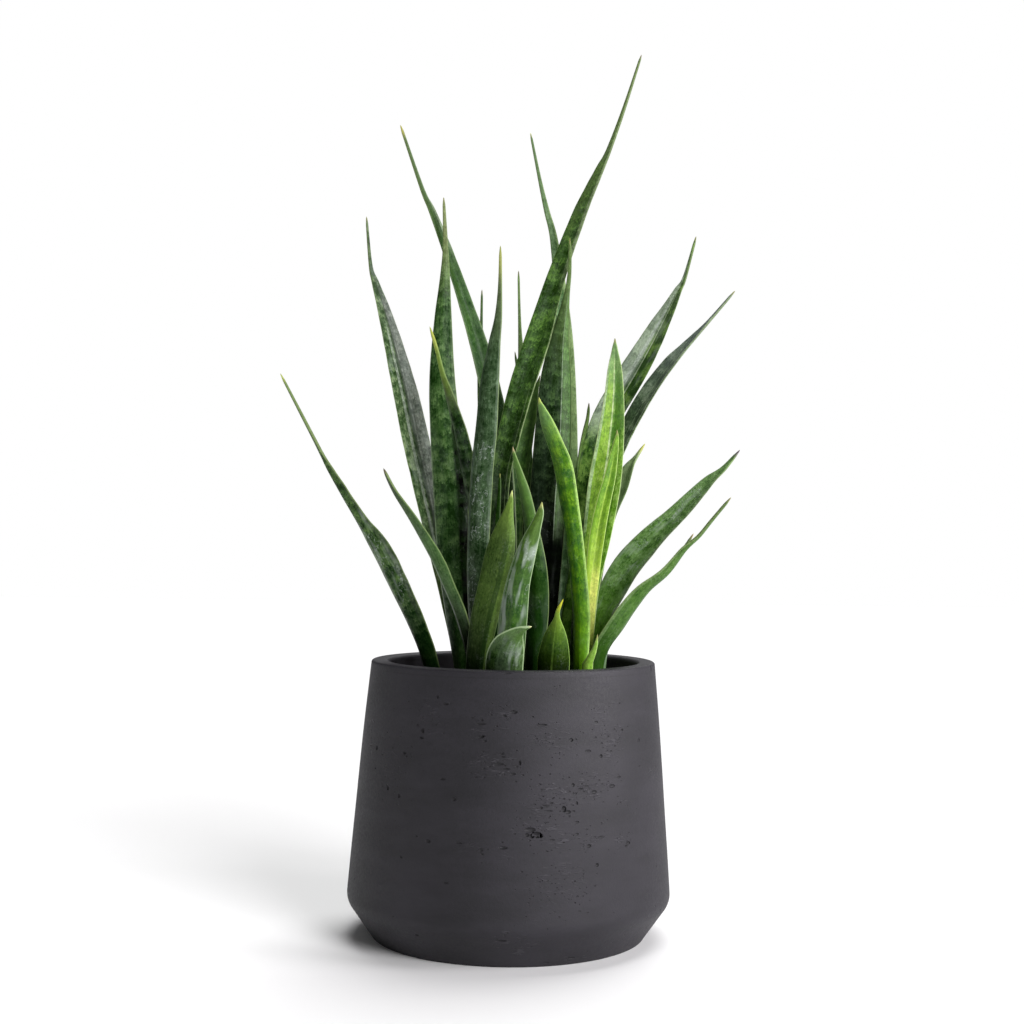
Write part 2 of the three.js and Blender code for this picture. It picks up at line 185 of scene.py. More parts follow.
# Runs a tree on a piece and leaves the plain mesh
def shapeWith(piece, tree, values):
    modifier = piece.modifiers.new(tree.name, "NODES")
    modifier.node_group = tree
    for item in tree.interface.items_tree:
        if item.in_out == "INPUT" and item.name in values:
            modifier[item.identifier] = values[item.name]
    evaluated = piece.evaluated_get(bpy.context.evaluated_depsgraph_get())
    mesh = bpy.data.meshes.new_from_object(evaluated)
    piece.modifiers.clear()
    piece.data = mesh
    mesh.name = piece.name


def newPiece(name, points, edges=(), faces=()):
    mesh = bpy.data.meshes.new(name)
    mesh.from_pydata(points, edges, faces)
    piece = bpy.data.objects.new(name, mesh)
    bpy.context.scene.collection.objects.link(piece)
    return piece


def newMaterial(name):
    material = bpy.data.materials.new(name)
    material.use_nodes = True
    tree = material.node_tree
    return material, tree, tree.nodes["Principled BSDF"]


reliefDepth = 0.0004   # metres between the low and the high of a surface's fine relief


def finishSurface(shader, colour, roughness, gloss, height, relief):
    inputs = {"Height": height, "Strength": relief, "Distance": reliefDepth}
    feed(shader.inputs["Base Color"], colour)
    feed(shader.inputs["Roughness"], roughness)
    feed(shader.inputs["Specular IOR Level"], gloss)
    feed(shader.inputs["Normal"], wireFrom(height.tree, "ShaderNodeBump", inputs))


# A colour as it looks on a screen, turned to light values
def paint(colour):
    def light(value):
        value /= 255
        return value / 12.92 if value <= 0.04045 else ((value + 0.055) / 1.055) ** 2.4

    return (*(light(value) for value in colour), 1.0)


# The camera of the photograph, fitted to the pot's rim, sides and base: metres, degrees, and a lens and
# sensor in millimetres
view = {
    "distance": 1.138, "height": 0.279, "upward": 1.07, "roll": 0.62, "lens": 55.6, "sensor": 36.0,
    "pixels": 1024,
}
cameraPlace = (
    Matrix.Translation((0, -view["distance"], view["height"]))
    @ Matrix.Rotation(math.radians(90 + view["upward"]), 4, "X")
    @ Matrix.Rotation(math.radians(view["roll"]), 4, "Z")
)
focalPixels = view["lens"] / view["sensor"] * view["pixels"]
middlePixel = view["pixels"] / 2


def makeCamera():
    camera = bpy.data.objects.new("camera", bpy.data.cameras.new("camera"))
    camera.data.lens = view["lens"]
    camera.data.sensor_width = view["sensor"]
    camera.matrix_world = cameraPlace
    bpy.context.scene.collection.objects.link(camera)
    bpy.context.scene.camera = camera


# The pot: cast cement, widest low down and drawn in to its foot, in millimetres
pot = {
    "height": 194, "footRadius": 97, "widestRadius": 115, "widestHeight": 26, "rimRadius": 101.3,
    "wall": 12.5, "floor": 16, "shoulderRound": 14, "rimRound": 1.7, "lipRound": 2.6, "footRound": 1.5,
    "innerRound": 10, "segments": 288, "rowStep": 2.6, "unevenness": 0.3, "unevenLength": 60, "lean": 2.0,
    "bulge": 0.7,
}


# The arc that rounds one corner of a profile
def roundedCorner(before, corner, after, radius, steps):
    toBefore = (before - corner).normalized()
    toAfter = (after - corner).normalized()
    half = toBefore.angle(toAfter) / 2
    centre = corner + (toBefore + toAfter).normalized() * radius / math.sin(half)
    start = corner + toBefore * radius / math.tan(half) - centre
    way = -1 if toBefore.cross(toAfter) > 0 else 1
    sweep = way * (math.pi - 2 * half)
    return [centre + Matrix.Rotation(sweep * i / steps, 2) @ start for i in range(steps + 1)]


# The inner wall runs alongside the sloping outer one
def innerRadius(height):
    slope = (pot["widestRadius"] - pot["rimRadius"]) / (pot["height"] - pot["widestHeight"])
    return pot["widestRadius"] - pot["wall"] - slope * (height - pot["widestHeight"])


def potProfile():
    foot = Vector((pot["footRadius"], 0))
    widest = Vector((pot["widestRadius"], pot["widestHeight"]))
    rimOut = Vector((pot["rimRadius"], pot["height"]))
    rimIn = Vector((innerRadius(pot["height"]), pot["height"]))
    innerFoot = Vector((innerRadius(pot["floor"]), pot["floor"]))
    under = Vector((0, 0))
    inside = Vector((0, pot["floor"]))
    corners = [under, *roundedCorner(under, foot, widest, pot["footRound"], 4)]
    corners += roundedCorner(foot, widest, rimOut, pot["shoulderRound"], 9)
    corners += roundedCorner(widest, rimOut, rimIn, pot["rimRound"], 6)
    corners += roundedCorner(rimOut, rimIn, innerFoot, pot["lipRound"], 6)
    corners += [*roundedCorner(rimIn, innerFoot, inside, pot["innerRound"], 6), inside]
    profile = []
    for start, end in zip(corners, corners[1:]):
        steps = max(1, round((end - start).length / pot["rowStep"]))
        profile += [start.lerp(end, i / steps) for i in range(steps)]
    return profile[1:]


# A profile turned round the Z axis, closed by a vertex on the axis at each end
def turnedShape(name, profile, low, high, segments, bent):
    points = [Vector((0, 0, low))]
    for radius, height in profile:
        for i in range(segments):
            angle = 2 * math.pi * i / segments
            points.append(bent(Vector((radius * math.cos(angle), radius * math.sin(angle), height))))
    points.append(Vector((0, 0, high)))
    last = len(points) - 1
    faces = []
    for i in range(segments):
        j = (i + 1) % segments
        faces.append((0, 1 + j, 1 + i))
        faces.append((last, last - segments + i, last - segments + j))
        for row in range(len(profile) - 1):
            start = 1 + row * segments
            faces.append((start + i, start + j, start + segments + j, start + segments + i))
    return newPiece(name, [point * mm for point in points], faces=faces)


# The cast isn't quite true: its wall leans, bulges and wavers by a millimetre or two
def leaning(place):
    return Vector((place.x + pot["lean"] * place.z / pot["height"], place.y, place.z))


def bulgeAt(height):
    return pot["bulge"] * math.sin(math.pi * height / pot["height"])


def unevenWall(place):
    if place.z < 1 or Vector((place.x, place.y)).length < pot["footRadius"] - pot["wall"]:
        return place
    away = Vector((place.x, place.y, 0)).normalized()
    waver = pot["unevenness"] * noise.noise(place / pot["unevenLength"])
    return leaning(place + away * (bulgeAt(place.z) + waver))


# Pores that stand out in the photograph, read off its frame: x, y, width and height in pixels
poreMarks = [
    (530, 830, 9, 4), (537, 835, 8, 5), (527, 835, 4, 3), (532, 836, 4, 4), (541, 836, 4, 3),
    (564, 809, 4, 5), (568, 812, 5, 3), (577, 822, 4, 2), (612, 786, 6, 3), (594, 792, 5, 3),
    (588, 751, 6, 2), (601, 756, 3, 3), (571, 740, 4, 3), (589, 846, 4, 3), (577, 834, 3, 2),
    (601, 837, 7, 2), (628, 843, 5, 3), (626, 846, 3, 2), (542, 725, 9, 2), (481, 724, 8, 2),
    (481, 737, 5, 2.5), (485, 741, 3, 2), (446, 704, 5, 2), (405, 753, 4, 2.5), (423, 731, 3, 4),
    (422, 738, 5, 2), (499, 764, 8, 2), (506, 769, 7, 1.5), (513, 774, 5, 2), (428, 841, 5, 3),
    (503, 848, 7, 2.5), (481, 850, 3, 2.5), (482, 854, 2.5, 2), (401, 857, 3, 2.5), (454, 799, 4, 3),
    (388, 788, 3, 4), (399, 796, 2.5, 4), (443, 779, 5, 2), (657, 866, 3, 2), (597, 865, 3, 3),
    (417, 935, 4, 2.5), (571, 958, 7, 3), (546, 963, 5, 2), (501, 941, 9, 3), (446, 883, 5, 2),
    (619, 777, 4, 2), (514, 712, 6, 3), (505, 716, 3, 2), (596, 722, 4, 2), (622, 730, 3, 2),
    (639, 740, 2.5, 3), (507, 673, 7, 2), (651, 668, 2, 5), (546, 806, 6, 1.5), (551, 803, 4, 1.5),
    (549, 811, 6, 1.5), (541, 808, 3, 2), (580, 789, 4, 2), (586, 786, 4, 1.5), (573, 785, 3, 3),
    (482, 720, 2.5, 2), (520, 763, 2, 4), (503, 757, 4, 1.5), (438, 697, 2, 3), (459, 843, 6, 2),
    (377, 748, 3, 4), (577, 803, 2, 3), (502, 754, 3, 1.5), (552, 840, 5, 1.5), (533, 717, 3, 1.5),
]
halvings = 40
pixelSize = (view["distance"] - pot["widestRadius"] * mm) / focalPixels
markGrowth = 1.35   # the walls of a pore look lighter than its middle, so it is wider than it seems


# Where the line of sight through a pixel meets the pot's wall, found by halving the way again and again
def onPotWall(x, y):
    sight = Vector(((x - middlePixel) / focalPixels, (middlePixel - y) / focalPixels, -1))
    sight = cameraPlace.to_3x3() @ sight
    eye = cameraPlace.translation / mm
    low, high = 0.0, 1.0
    reach = -eye.y / sight.y
    for _ in range(halvings):
        middle = (low + high) / 2
        place = eye + sight * reach * middle
        height = min(max(place.z, 0), pot["height"])
        wall = innerRadius(height) + pot["wall"]
        if height < pot["widestHeight"]:
            spread = pot["widestRadius"] - pot["footRadius"]
            wall = pot["footRadius"] + spread * height / pot["widestHeight"]
        wall += bulgeAt(height)
        if math.hypot(place.x - pot["lean"] * height / pot["height"], place.y) > wall:
            low = middle
        else:
            high = middle
    return (eye + sight * reach * high) * mm


def makePoreMarks():
    marks = newPiece("poreMarks", [onPotWall(x, y) for x, y, _, _ in poreMarks])
    for name, index in (("wide", 2), ("tall", 3)):
        layer = marks.data.attributes.new(name, "FLOAT", "POINT")
        for item, mark in zip(layer.data, poreMarks):
            item.value = mark[index] / 2 * pixelSize * markGrowth
    return marks


# Where the wall is pitted and scratched, read the same way: x, y, half width, half height and how much
wornPatches = [
    (500, 716, 16, 11, 0.7), (477, 730, 9, 15, 0.8), (492, 766, 28, 15, 1.0), (552, 738, 28, 20, 0.6),
    (553, 802, 27, 22, 1.0), (594, 787, 28, 14, 0.9), (534, 833, 18, 9, 1.0), (578, 840, 34, 11, 0.8),
    (562, 882, 36, 28, 0.55), (496, 939, 10, 6, 0.8), (430, 718, 22, 26, 0.55), (392, 765, 32, 34, 0.45),
    (612, 735, 30, 13, 0.6), (620, 843, 12, 8, 0.7), (470, 848, 22, 9, 0.5),
]
patchReach = 1.5   # a patch fades from half its size to one and a half times its size


def addWornPatches(piece):
    patches = [(onPotWall(x, y), w * pixelSize, h * pixelSize, much) for x, y, w, h, much in wornPatches]
    layer = piece.data.attributes.new("worn", "FLOAT", "POINT")
    for item, vertex in zip(layer.data, piece.data.vertices):
        for place, halfWide, halfHigh, much in patches:
            away = vertex.co - place
            far = math.hypot(math.hypot(away.x, away.y) / halfWide, away.z / halfHigh)
            item.value = max(item.value, much * min(1, max(0, patchReach - far)))


# Rough balls set on points: hollows in the pot's wall, or loose bits on the mix
def roughBalls(points, rotation, scale, place, grainScale, roughness):
    tree = points.tree
    ball = wireFrom(tree, "GeometryNodeMeshIcoSphere", {"Radius": 1.0, "Subdivisions": 2})
    inputs = {"Points": points, "Instance": ball, "Rotation": rotation, "Scale": scale}
    balls = wireFrom(tree, "GeometryNodeInstanceOnPoints", inputs)
    balls = wireFrom(tree, "GeometryNodeRealizeInstances", {"Geometry": balls})
    grain = wireFrom(tree, "ShaderNodeTexNoise", {"Vector": place, "Scale": grainScale, "Detail": 1.0}, 1)
    offset = (grain - (0.5, 0.5, 0.5)) * roughness
    return wireFrom(tree, "GeometryNodeSetPosition", {"Geometry": balls, "Offset": offset})


# Random sizes from the smallest to the largest: the higher the power, the fewer large ones
def drawnSizes(given, power):
    inputs = {"Seed": given["Seed"]}
    draw = wireFrom(given["Seed"].tree, "FunctionNodeRandomValue", inputs, 1, data_type="FLOAT")
    return ramp(draw ** power, 0.0, 1.0, given["Smallest"], given["Largest"], smooth=False)


def drawnVectors(given, low, high):
    inputs = {0: low, 1: high, "Seed": given["Seed"]}
    return wireFrom(given["Seed"].tree, "FunctionNodeRandomValue", inputs, data_type="FLOAT_VECTOR")


# Lengths are in metres, the densities are pores on a square metre of a sound wall and of a worn one, and an
# edge bent by more than the crisp angle, in radians, isn't smoothed
pores = {
    "Density": 5000.0, "Worn Density": 26000.0, "Smallest": 0.0004, "Largest": 0.0013, "Flatness": 0.5,
    "Depth": 0.6, "Least Depth": 0.00025, "Roughness": 0.0004, "Grain": 900.0, "Group Scale": 22.0,
    "Crisp Angle": 0.55, "Seed": 7,
}


def makePoreTree():
    tree, given = newTree("openPores", {**pores, "Marks": "Object", "Material": "Material"})
    body = stored(given["Geometry"], "pore", 0.0)
    place = wireFrom(tree, "GeometryNodeInputPosition")
    x, y, _ = parted(place)
    outward = vectors("NORMALIZE", joined(x, y, 0.0))

    # Pores open on the outer wall only, in loose groups, and crowd where it is worn
    outer = vectors("DOT_PRODUCT", wireFrom(tree, "GeometryNodeInputNormal"), outward) > 0.6
    groups = ramp(speckle(place, given["Group Scale"], 1.0), 0.5, 0.72)
    crowd = (given["Density"] * groups + given["Worn Density"] * named(tree, "worn")) * outer
    inputs = {"Mesh": body, "Density": crowd, "Seed": given["Seed"]}
    points = wireFrom(tree, "GeometryNodeDistributePointsOnFaces", inputs, "Points")
    wide = drawnSizes(given, 3.0)
    points = stored(points, "wide", wide)
    points = stored(points, "tall", wide * given["Flatness"])
    marks = wireFrom(tree, "GeometryNodeObjectInfo", {"Object": given["Marks"]}, "Geometry")
    both = tree.nodes.new("GeometryNodeJoinGeometry")
    for geometry in (points, marks):
        feed(both.inputs[0], geometry)

    # Each hollow lies level on the wall, wider than it is high
    align = "FunctionNodeAlignRotationToVector"
    turned = wireFrom(tree, align, {"Vector": outward}, axis="Z")
    inputs = {"Rotation": turned, "Vector": (0.0, 0.0, 1.0)}
    upright = wireFrom(tree, align, inputs, axis="Y", pivot_axis="Z")
    width, height = named(tree, "wide"), named(tree, "tall")
    depth = sums("MAXIMUM", height * given["Depth"], given["Least Depth"])
    size = joined(width, height, depth)
    hollows = roughBalls(Wire(both.outputs[0]), upright, size, place, given["Grain"], given["Roughness"])
    inputs = {"Mesh 1": body, "Mesh 2": stored(hollows, "pore", 1.0)}
    cut = wireFrom(tree, "GeometryNodeMeshBoolean", inputs, "Mesh", operation="DIFFERENCE", solver="MANIFOLD")
    smooth = wireFrom(tree, "GeometryNodeSetShadeSmooth", {"Geometry": cut})
    bend = wireFrom(tree, "GeometryNodeInputMeshEdgeAngle", output="Unsigned Angle")
    inputs = {"Geometry": smooth, "Selection": bend > given["Crisp Angle"], "Shade Smooth": False}
    endTree(wireFrom(tree, "GeometryNodeSetShadeSmooth", inputs, domain="EDGE"), given["Material"])
    return tree


# Colours are as they look on a screen, and the faint line under the lip is placed in metres. pinholes: how
# many stand in a metre, which share of them is open where the wall is worn, and how wide each is in its cell
# hollow is the painted shade laid inside the pores and pinholes, and also the colour of the line under the
# lip
cement = {
    "dark": (28, 27, 31), "light": (45, 43, 49), "dust": (96, 94, 100), "hollow": (20, 19, 21),
    "roughness": 0.6, "gloss": 0.36, "relief": 0.7, "dustStrength": 0.24, "lipBelow": 0.0047,
    "lipWidth": 0.0009, "lipStrength": 0.3, "pinholes": ((230.0, 0.4, 0.24), (430.0, 0.35, 0.28)),
}


def makeCement():
    material, tree, shader = newMaterial("castCement")
    place = wireFrom(tree, "ShaderNodeTexCoord", output="Object")

    def stretched(level, upright, detail, roughness):
        return speckle(place * (level, level, upright), 1.0, detail, roughness)

    worn = sums("MAXIMUM", carried(tree, "worn"), ramp(speckle(place, 30.0, 2.0), 0.56, 0.7, 0.0, 0.7))
    clouds = speckle(place, 9.0, 3.0, 0.55)
    streaks = stretched(18.0, 60.0, 4.0, 0.6)
    fine = speckle(place, 520.0, 4.0, 0.7)
    tone = clouds * 0.4 + streaks * 0.3 + fine * 0.3
    colour = blended(ramp(tone, 0.34, 0.66), paint(cement["dark"]), paint(cement["light"]))

    # Short level ridges, like scratches, and pale dust on them where the wall is worn
    level = abs(stretched(60.0, 330.0, 2.0, 0.5) - 0.5)
    broken = ramp(stretched(110.0, 300.0, 2.0, 0.5), 0.46, 0.6)
    ridge = ramp(level, 0.01, 0.05, 1.0, 0.0) * ramp(worn, 0.25, 0.9) * broken
    dustAt = ramp(stretched(320.0, 620.0, 3.0, 0.7), 0.62, 0.74)
    dust = sums("MAXIMUM", dustAt * worn, ridge * 0.8) * cement["dustStrength"]
    colour = blended(dust, colour, paint(cement["dust"]))

    # A faint dark line just under the rim's lip
    lipHeight = pot["height"] * mm - cement["lipBelow"]
    lip = ramp(abs(lipHeight - parted(place)[2]), 0.0, cement["lipWidth"], cement["lipStrength"], 0.0)
    colour = blended(lip, colour, paint(cement["hollow"]))

    # Pinholes of two sizes, crowded where the wall is worn: dents in the relief, with painted shade inside
    # them
    pin = 0.0
    for scale, often, widest in cement["pinholes"]:
        inputs = {"Vector": place * (scale, scale, scale * 1.6), "Scale": 1.0, "Randomness": 1.0}
        cells = addNode(tree, "ShaderNodeTexVoronoi", inputs).outputs
        picked = wireFrom(tree, "ShaderNodeSeparateColor", {0: Wire(cells["Color"])})
        hole = ramp(Wire(cells["Distance"]), 0.1, widest, 1.0, 0.0) * (picked < worn * often)
        pin = sums("MAXIMUM", pin, hole)
    # The pinholes and the cut pores are painted with the dark hollow colour: painted shade inside the hollows
    deep = sums("MAXIMUM", pin * 0.7, carried(tree, "pore") * 0.6)
    colour = blended(deep, colour, paint(cement["hollow"]))
    rough = ramp(fine, 0.3, 0.7, cement["roughness"] - 0.06, cement["roughness"] + 0.1)
    height = fine * 0.45 + streaks * 0.5 + ridge * 1.4 - pin * 2.2
    finishSurface(shader, colour, rough, cement["gloss"], height, cement["relief"])
    return material


def makePot():
    piece = turnedShape("castPot", potProfile(), 0, pot["floor"], pot["segments"], unevenWall)
    addWornPatches(piece)
    marks = makePoreMarks()
    shapeWith(piece, makePoreTree(), {**pores, "Marks": marks, "Material": makeCement()})
    bpy.data.objects.remove(marks)
    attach(piece, "root")
    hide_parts("pot")
    print("pot cast:", len(piece.data.polygons), "faces")


# The potting mix: a crumbly top, heaped towards the shoots, in millimetres
mix = {
    "height": 168, "heap": 4, "heapCentre": (8, -10), "lump": 1.3, "lumpSpacing": 22, "clearance": 0.3,
    "footWide": 11, "footHigh": 13, "rings": 70, "segments": 180, "crumb": 1.1, "crumbLength": 5,
}
# The loose bits: how many lie on a square metre, and their sizes in metres
crumbs = {
    "peatCrumbs": {"Density": 62000.0, "Smallest": 0.0006, "Largest": 0.0024, "Flatness": 0.8, "Seed": 3},
    "barkChips": {"Density": 5200.0, "Smallest": 0.0022, "Largest": 0.0062, "Flatness": 0.4, "Seed": 5},
    "perliteGrains": {"Density": 3600.0, "Smallest": 0.0011, "Largest": 0.0026, "Flatness": 0.9, "Seed": 8},
}
bitsOnMix = {"Lowest": 0.15, "Grain": 650.0}   # the least height they lie at, and how fine their roughness is
# What the mix and the bits look like: colours, grains in a metre and roughness
grounds = {
    "peat": {"dark": (22, 15, 11), "light": (58, 42, 31), "scale": 260.0, "roughness": 0.95},
    "peatCrumbs": {"dark": (26, 18, 13), "light": (74, 53, 38), "scale": 300.0, "roughness": 0.93},
    "barkChips": {"dark": (52, 33, 22), "light": (112, 76, 50), "scale": 240.0, "roughness": 0.8},
    "perliteGrains": {"dark": (170, 166, 156), "light": (226, 222, 212), "scale": 420.0, "roughness": 0.85},
}
groundLook = {"gloss": 0.5, "relief": 0.8}


def mixTop(x, y):
    away = math.hypot(x - mix["heapCentre"][0], y - mix["heapCentre"][1]) / innerRadius(mix["height"])
    wave = 2 * math.pi / mix["lumpSpacing"]
    lumps = math.sin(x * wave) * math.cos(y * wave) + math.sin((x - y) * wave / 2) / 2
    return mix["height"] + mix["heap"] * max(0, 1 - away * away) + mix["lump"] * lumps


def crumbled(place):
    if place.z < mix["height"] - 1:
        return leaning(place)
    rough = noise.fractal(place / mix["crumbLength"], 0.8, 2.2, 3)
    return leaning(Vector((place.x, place.y, mixTop(place.x, place.y) + mix["crumb"] * rough)))


def makeScatterTree():
    tree, given = newTree("scatterOnMix", {**crumbs["peatCrumbs"], **bitsOnMix, "Material": "Material"})
    place = wireFrom(tree, "GeometryNodeInputPosition")
    facingUp = parted(wireFrom(tree, "GeometryNodeInputNormal"))[2] > 0.5
    onTop = parted(place)[2] > given["Lowest"]
    inputs = {
        "Mesh": given["Geometry"], "Selection": facingUp * onTop, "Density": given["Density"],
        "Seed": given["Seed"],
    }
    points = wireFrom(tree, "GeometryNodeDistributePointsOnFaces", inputs, "Points")
    size = drawnSizes(given, 2.5)

    # Each bit is a little tilted and turned any way, and has its own three sides
    tumbled = drawnVectors(given, (-0.5, -0.5, 0.0), (0.5, 0.5, 6.283))
    shape = drawnVectors(given, (0.3, 0.2, 0.25), (0.62, 0.5, 0.5)) * joined(1.0, 1.0, given["Flatness"])
    bits = roughBalls(points, tumbled, shape * size, place, given["Grain"], given["Smallest"])
    endTree(bits, given["Material"])
    return tree


def makeGround(name, look):
    material, tree, shader = newMaterial(name)
    place = wireFrom(tree, "ShaderNodeTexCoord", output="Object")
    tone = speckle(place, look["scale"], 4.0, 0.65) * 0.5 + speckle(place, look["scale"] / 6, 2.0) * 0.5
    colour = blended(ramp(tone, 0.38, 0.62), paint(look["dark"]), paint(look["light"]))
    finishSurface(shader, colour, look["roughness"], groundLook["gloss"], tone, groundLook["relief"])
    return material


def makeMix():
    low = pot["floor"] + mix["clearance"]
    side = low + mix["footHigh"]
    sideRadius = innerRadius(side) - mix["clearance"]
    topRadius = innerRadius(mix["height"]) - mix["clearance"]
    profile = [(sideRadius - mix["footWide"], low), (sideRadius, side), (topRadius, mix["height"] - 2)]
    profile += [(topRadius * (1 - k / mix["rings"]), mix["height"]) for k in range(mix["rings"])]
    body = turnedShape("pottingMix", profile, low, mixTop(0, 0), mix["segments"], crumbled)
    for face in body.data.polygons:
        face.use_smooth = True
    materials = {name: makeGround(name, look) for name, look in grounds.items()}
    body.data.materials.append(materials["peat"])
    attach(body, "root")
    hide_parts("potting_mix")
    tree = makeScatterTree()
    for name, values in crumbs.items():
        bits = bpy.data.objects.new(name, body.data.copy())
        bpy.context.scene.collection.objects.link(bits)
        shapeWith(bits, tree, {**values, **bitsOnMix, "Material": materials[name]})
        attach(bits, "root")
        print("scattered", name, len(bits.data.polygons), "faces")


# How every blade is formed: lengths in millimetres, and the rest in shares of its thickness, width or length
blade = {
    "Foot Thickness": 4.2, "Tip Thickness": 1.9, "Edge Share": 0.36, "Least Edge": 0.8, "Least Width": 1.4,
    "Foot Channel": 0.26, "Upper Channel": 0.2, "Deep Reach": 0.4, "Point Width": 3.4, "Blade Width": 6.8,
    "Fold": 0.5, "Fold Place": 0.0, "Awn Length": 7.0, "Awn Share": 0.4, "Ripple": 0.8,
    "Ripple Length": 45.0, "Edge Wave": 0.6, "Edge Wave Length": 16.0,
}
# Steps round a blade, millimetres between its rows, and steps between two points of its route
bladeSteps = {"around": 40, "spacing": 3.4, "route": 10}
sameSpot = 0.000002   # metres within which points of a blade become one


def makeLeafTree():
    steps = {"Steps Along": 100, "Steps Around": bladeSteps["around"], "Seed": 0.0}
    tree, given = newTree("growLeaf", {**steps, **blade, "Material": "Material"})
    curve = wireFrom(tree, "GeometryNodeMeshToCurve", {"Mesh": given["Geometry"]})
    curve = wireFrom(tree, "GeometryNodeCurveSplineType", {"Curve": curve}, spline_type="CATMULL_ROM")
    inputs = {"Geometry": curve, "Resolution": bladeSteps["route"]}
    curve = wireFrom(tree, "GeometryNodeSetSplineResolution", inputs)
    length = wireFrom(tree, "GeometryNodeCurveLength", {"Curve": curve}) * (1 / mm)
    rows, columns = given["Steps Along"] + 1.0, given["Steps Around"] + 1.0
    inputs = {"Size X": 1.0, "Size Y": 1.0, "Vertices X": rows, "Vertices Y": columns}
    grid = wireFrom(tree, "GeometryNodeMeshGrid", inputs)
    x, y, _ = parted(wireFrom(tree, "GeometryNodeInputPosition"))
    grid = stored(grid, "row", x + 0.5)
    grid = stored(grid, "turnedBy", y + 0.5)
    row, around = named(tree, "row"), named(tree, "turnedBy")

    # Along the route: rows lie closer towards the tip
    share = 1.0 - (1.0 - row) ** 1.2
    along = share * length
    toTip = length - along

    def sampled(name):
        inputs = {"Curves": curve, "Value": named(tree, name), "Factor": share}
        return addNode(tree, "GeometryNodeSampleCurve", inputs, mode="FACTOR", data_type="FLOAT").outputs

    station = sampled("width")
    tangent = Wire(station["Tangent"])
    turn = Wire(sampled("turn")["Value"])
    awn = ramp(toTip, 0.0, given["Awn Length"], given["Awn Share"], 1.0)
    width = sums("MAXIMUM", Wire(station["Value"]), given["Least Width"]) * awn
    level = joined(sums("COSINE", turn), sums("SINE", turn), 0.0)
    across = vectors("NORMALIZE", level - tangent * vectors("DOT_PRODUCT", level, tangent))
    inward = vectors("CROSS_PRODUCT", across, tangent)

    # Round the section: along the inner face and back along the outer one, closer towards the edges
    lap = around * 2.0
    side = sums("SINE", (1.0 - abs(lap - 1.0) * 2.0) * (math.pi / 2))
    face = (lap < 1.0) * 2.0 - 1.0
    square = side * side
    flat = ramp(width, given["Point Width"], given["Blade Width"])
    thick = ramp(share, 0.0, 1.0, given["Foot Thickness"], given["Tip Thickness"], smooth=False)
    thick = sums("MINIMUM", thick, width)
    edge = thick * ramp(flat, 0.0, 1.0, 0.5, given["Edge Share"], smooth=False)
    edge = sums("MINIMUM", sums("MAXIMUM", edge, given["Least Edge"]), thick)
    half = (edge + (thick - edge) * (1.0 - square * square)) * 0.5
    rounded = sums("SQRT", sums("SUBTRACT", 1.0, square ** 5.0, clamp=True))
    channel = given["Foot Channel"], given["Upper Channel"]
    opened = ramp(share, 0.0, given["Deep Reach"], *channel, smooth=False)
    aside = side - given["Fold Place"]
    slope = (aside / (1.0 - sums("SIGN", aside) * given["Fold Place"])) ** 2.0
    crease = sums("SQRT", slope + 0.004)
    inputs = {0: given["Fold"], 2: slope, 3: crease}   # the sockets for numbers
    fold = wireFrom(tree, "ShaderNodeMix", inputs, data_type="FLOAT")
    hollow = width * flat * opened * (fold - 0.5)

    # Slow ripples of the whole blade and of its thin edges
    drift = joined(along / given["Ripple Length"], given["Seed"], 0.0)
    ripple = (speckle(drift, 1.0, 1.0) - 0.5) * given["Ripple"] * (flat * 2.0)
    drift = joined(along / given["Edge Wave Length"], given["Seed"], sums("SIGN", side) * 3.0)
    wave = (speckle(drift, 1.0, 1.0) - 0.5) * given["Edge Wave"] * (square * square) * (flat * 2.0)
    deep = hollow + half * rounded * face + (ripple + wave)
    wide = side * width * 0.5
    toEdge = width * 0.5 - abs(wide)

    # The first and last rows shrink to a point, which closes the blade
    ends = (row > 0.0001) * (row < 0.9999)
    offset = (across * wide + inward * deep) * (ends * mm)
    values = {"along": along, "toTip": toTip, "across": wide, "side": side, "toEdge": toEdge}
    for name, value in values.items():
        grid = stored(grid, name, value)
    inputs = {"Geometry": grid, "Position": Wire(station["Position"]) + offset}
    placed = wireFrom(tree, "GeometryNodeSetPosition", inputs)
    inputs = {"Geometry": placed, "Distance": sameSpot}
    closed = wireFrom(tree, "GeometryNodeMergeByDistance", inputs)
    endTree(wireFrom(tree, "GeometryNodeSetShadeSmooth", {"Geometry": closed}), given["Material"])
    return tree


# What colours a blade. Colours are as they look in plain daylight, lengths in millimetres, and shares run
# from the foot to the tip. A strip lies along the blade: its middle and half width from edge to edge as -1
# to 1, the shares where it begins and ends, its strength and its colour.
# foot is painted shade low in the clump, and a young shoot's own pale sheath; crown is mostly painted light
# near the tip
leafSkin = {
    "deep": (36, 56, 24), "mid": (66, 94, 46), "pale": (104, 136, 70), "foot": (26, 40, 12),
    "crown": (100, 126, 76), "tip": (150, 150, 96), "margin": (140, 160, 104), "wax": (190, 200, 194),
    "bands": 0.5, "bandLength": 9.0, "mottle": 0.5, "fibres": 0.4, "footTo": 0.4, "footStrength": 0.7,
    "crownFrom": 0.6, "crownStrength": 0.4, "tipLength": 6.0, "marginWidth": 0.5, "marginStrength": 0.5,
    "waxStrength": 0.02, "waxFrom": 0.25, "waxTo": 0.85, "scratches": 0.06, "roughness": 0.42, "gloss": 0.15,
}
skinColours = ("deep", "mid", "pale", "foot", "crown", "tip", "margin", "wax")
skinNumbers = tuple(name for name in leafSkin if name not in skinColours)
skinRelief = 0.5
stripNumbers = ("place", "width", "start", "end", "strength")
mostStrips = 4
noStrip = (0, 0.1, 0, 1, 0, leafSkin["mid"])   # stands in for each strip a leaf hasn't got
# What a blade gives back of a colour that is seen, what its gloss adds to it, and the darkest it may be
skinLight = {"share": 0.96, "gloss": 0.01, "least": 0.002}


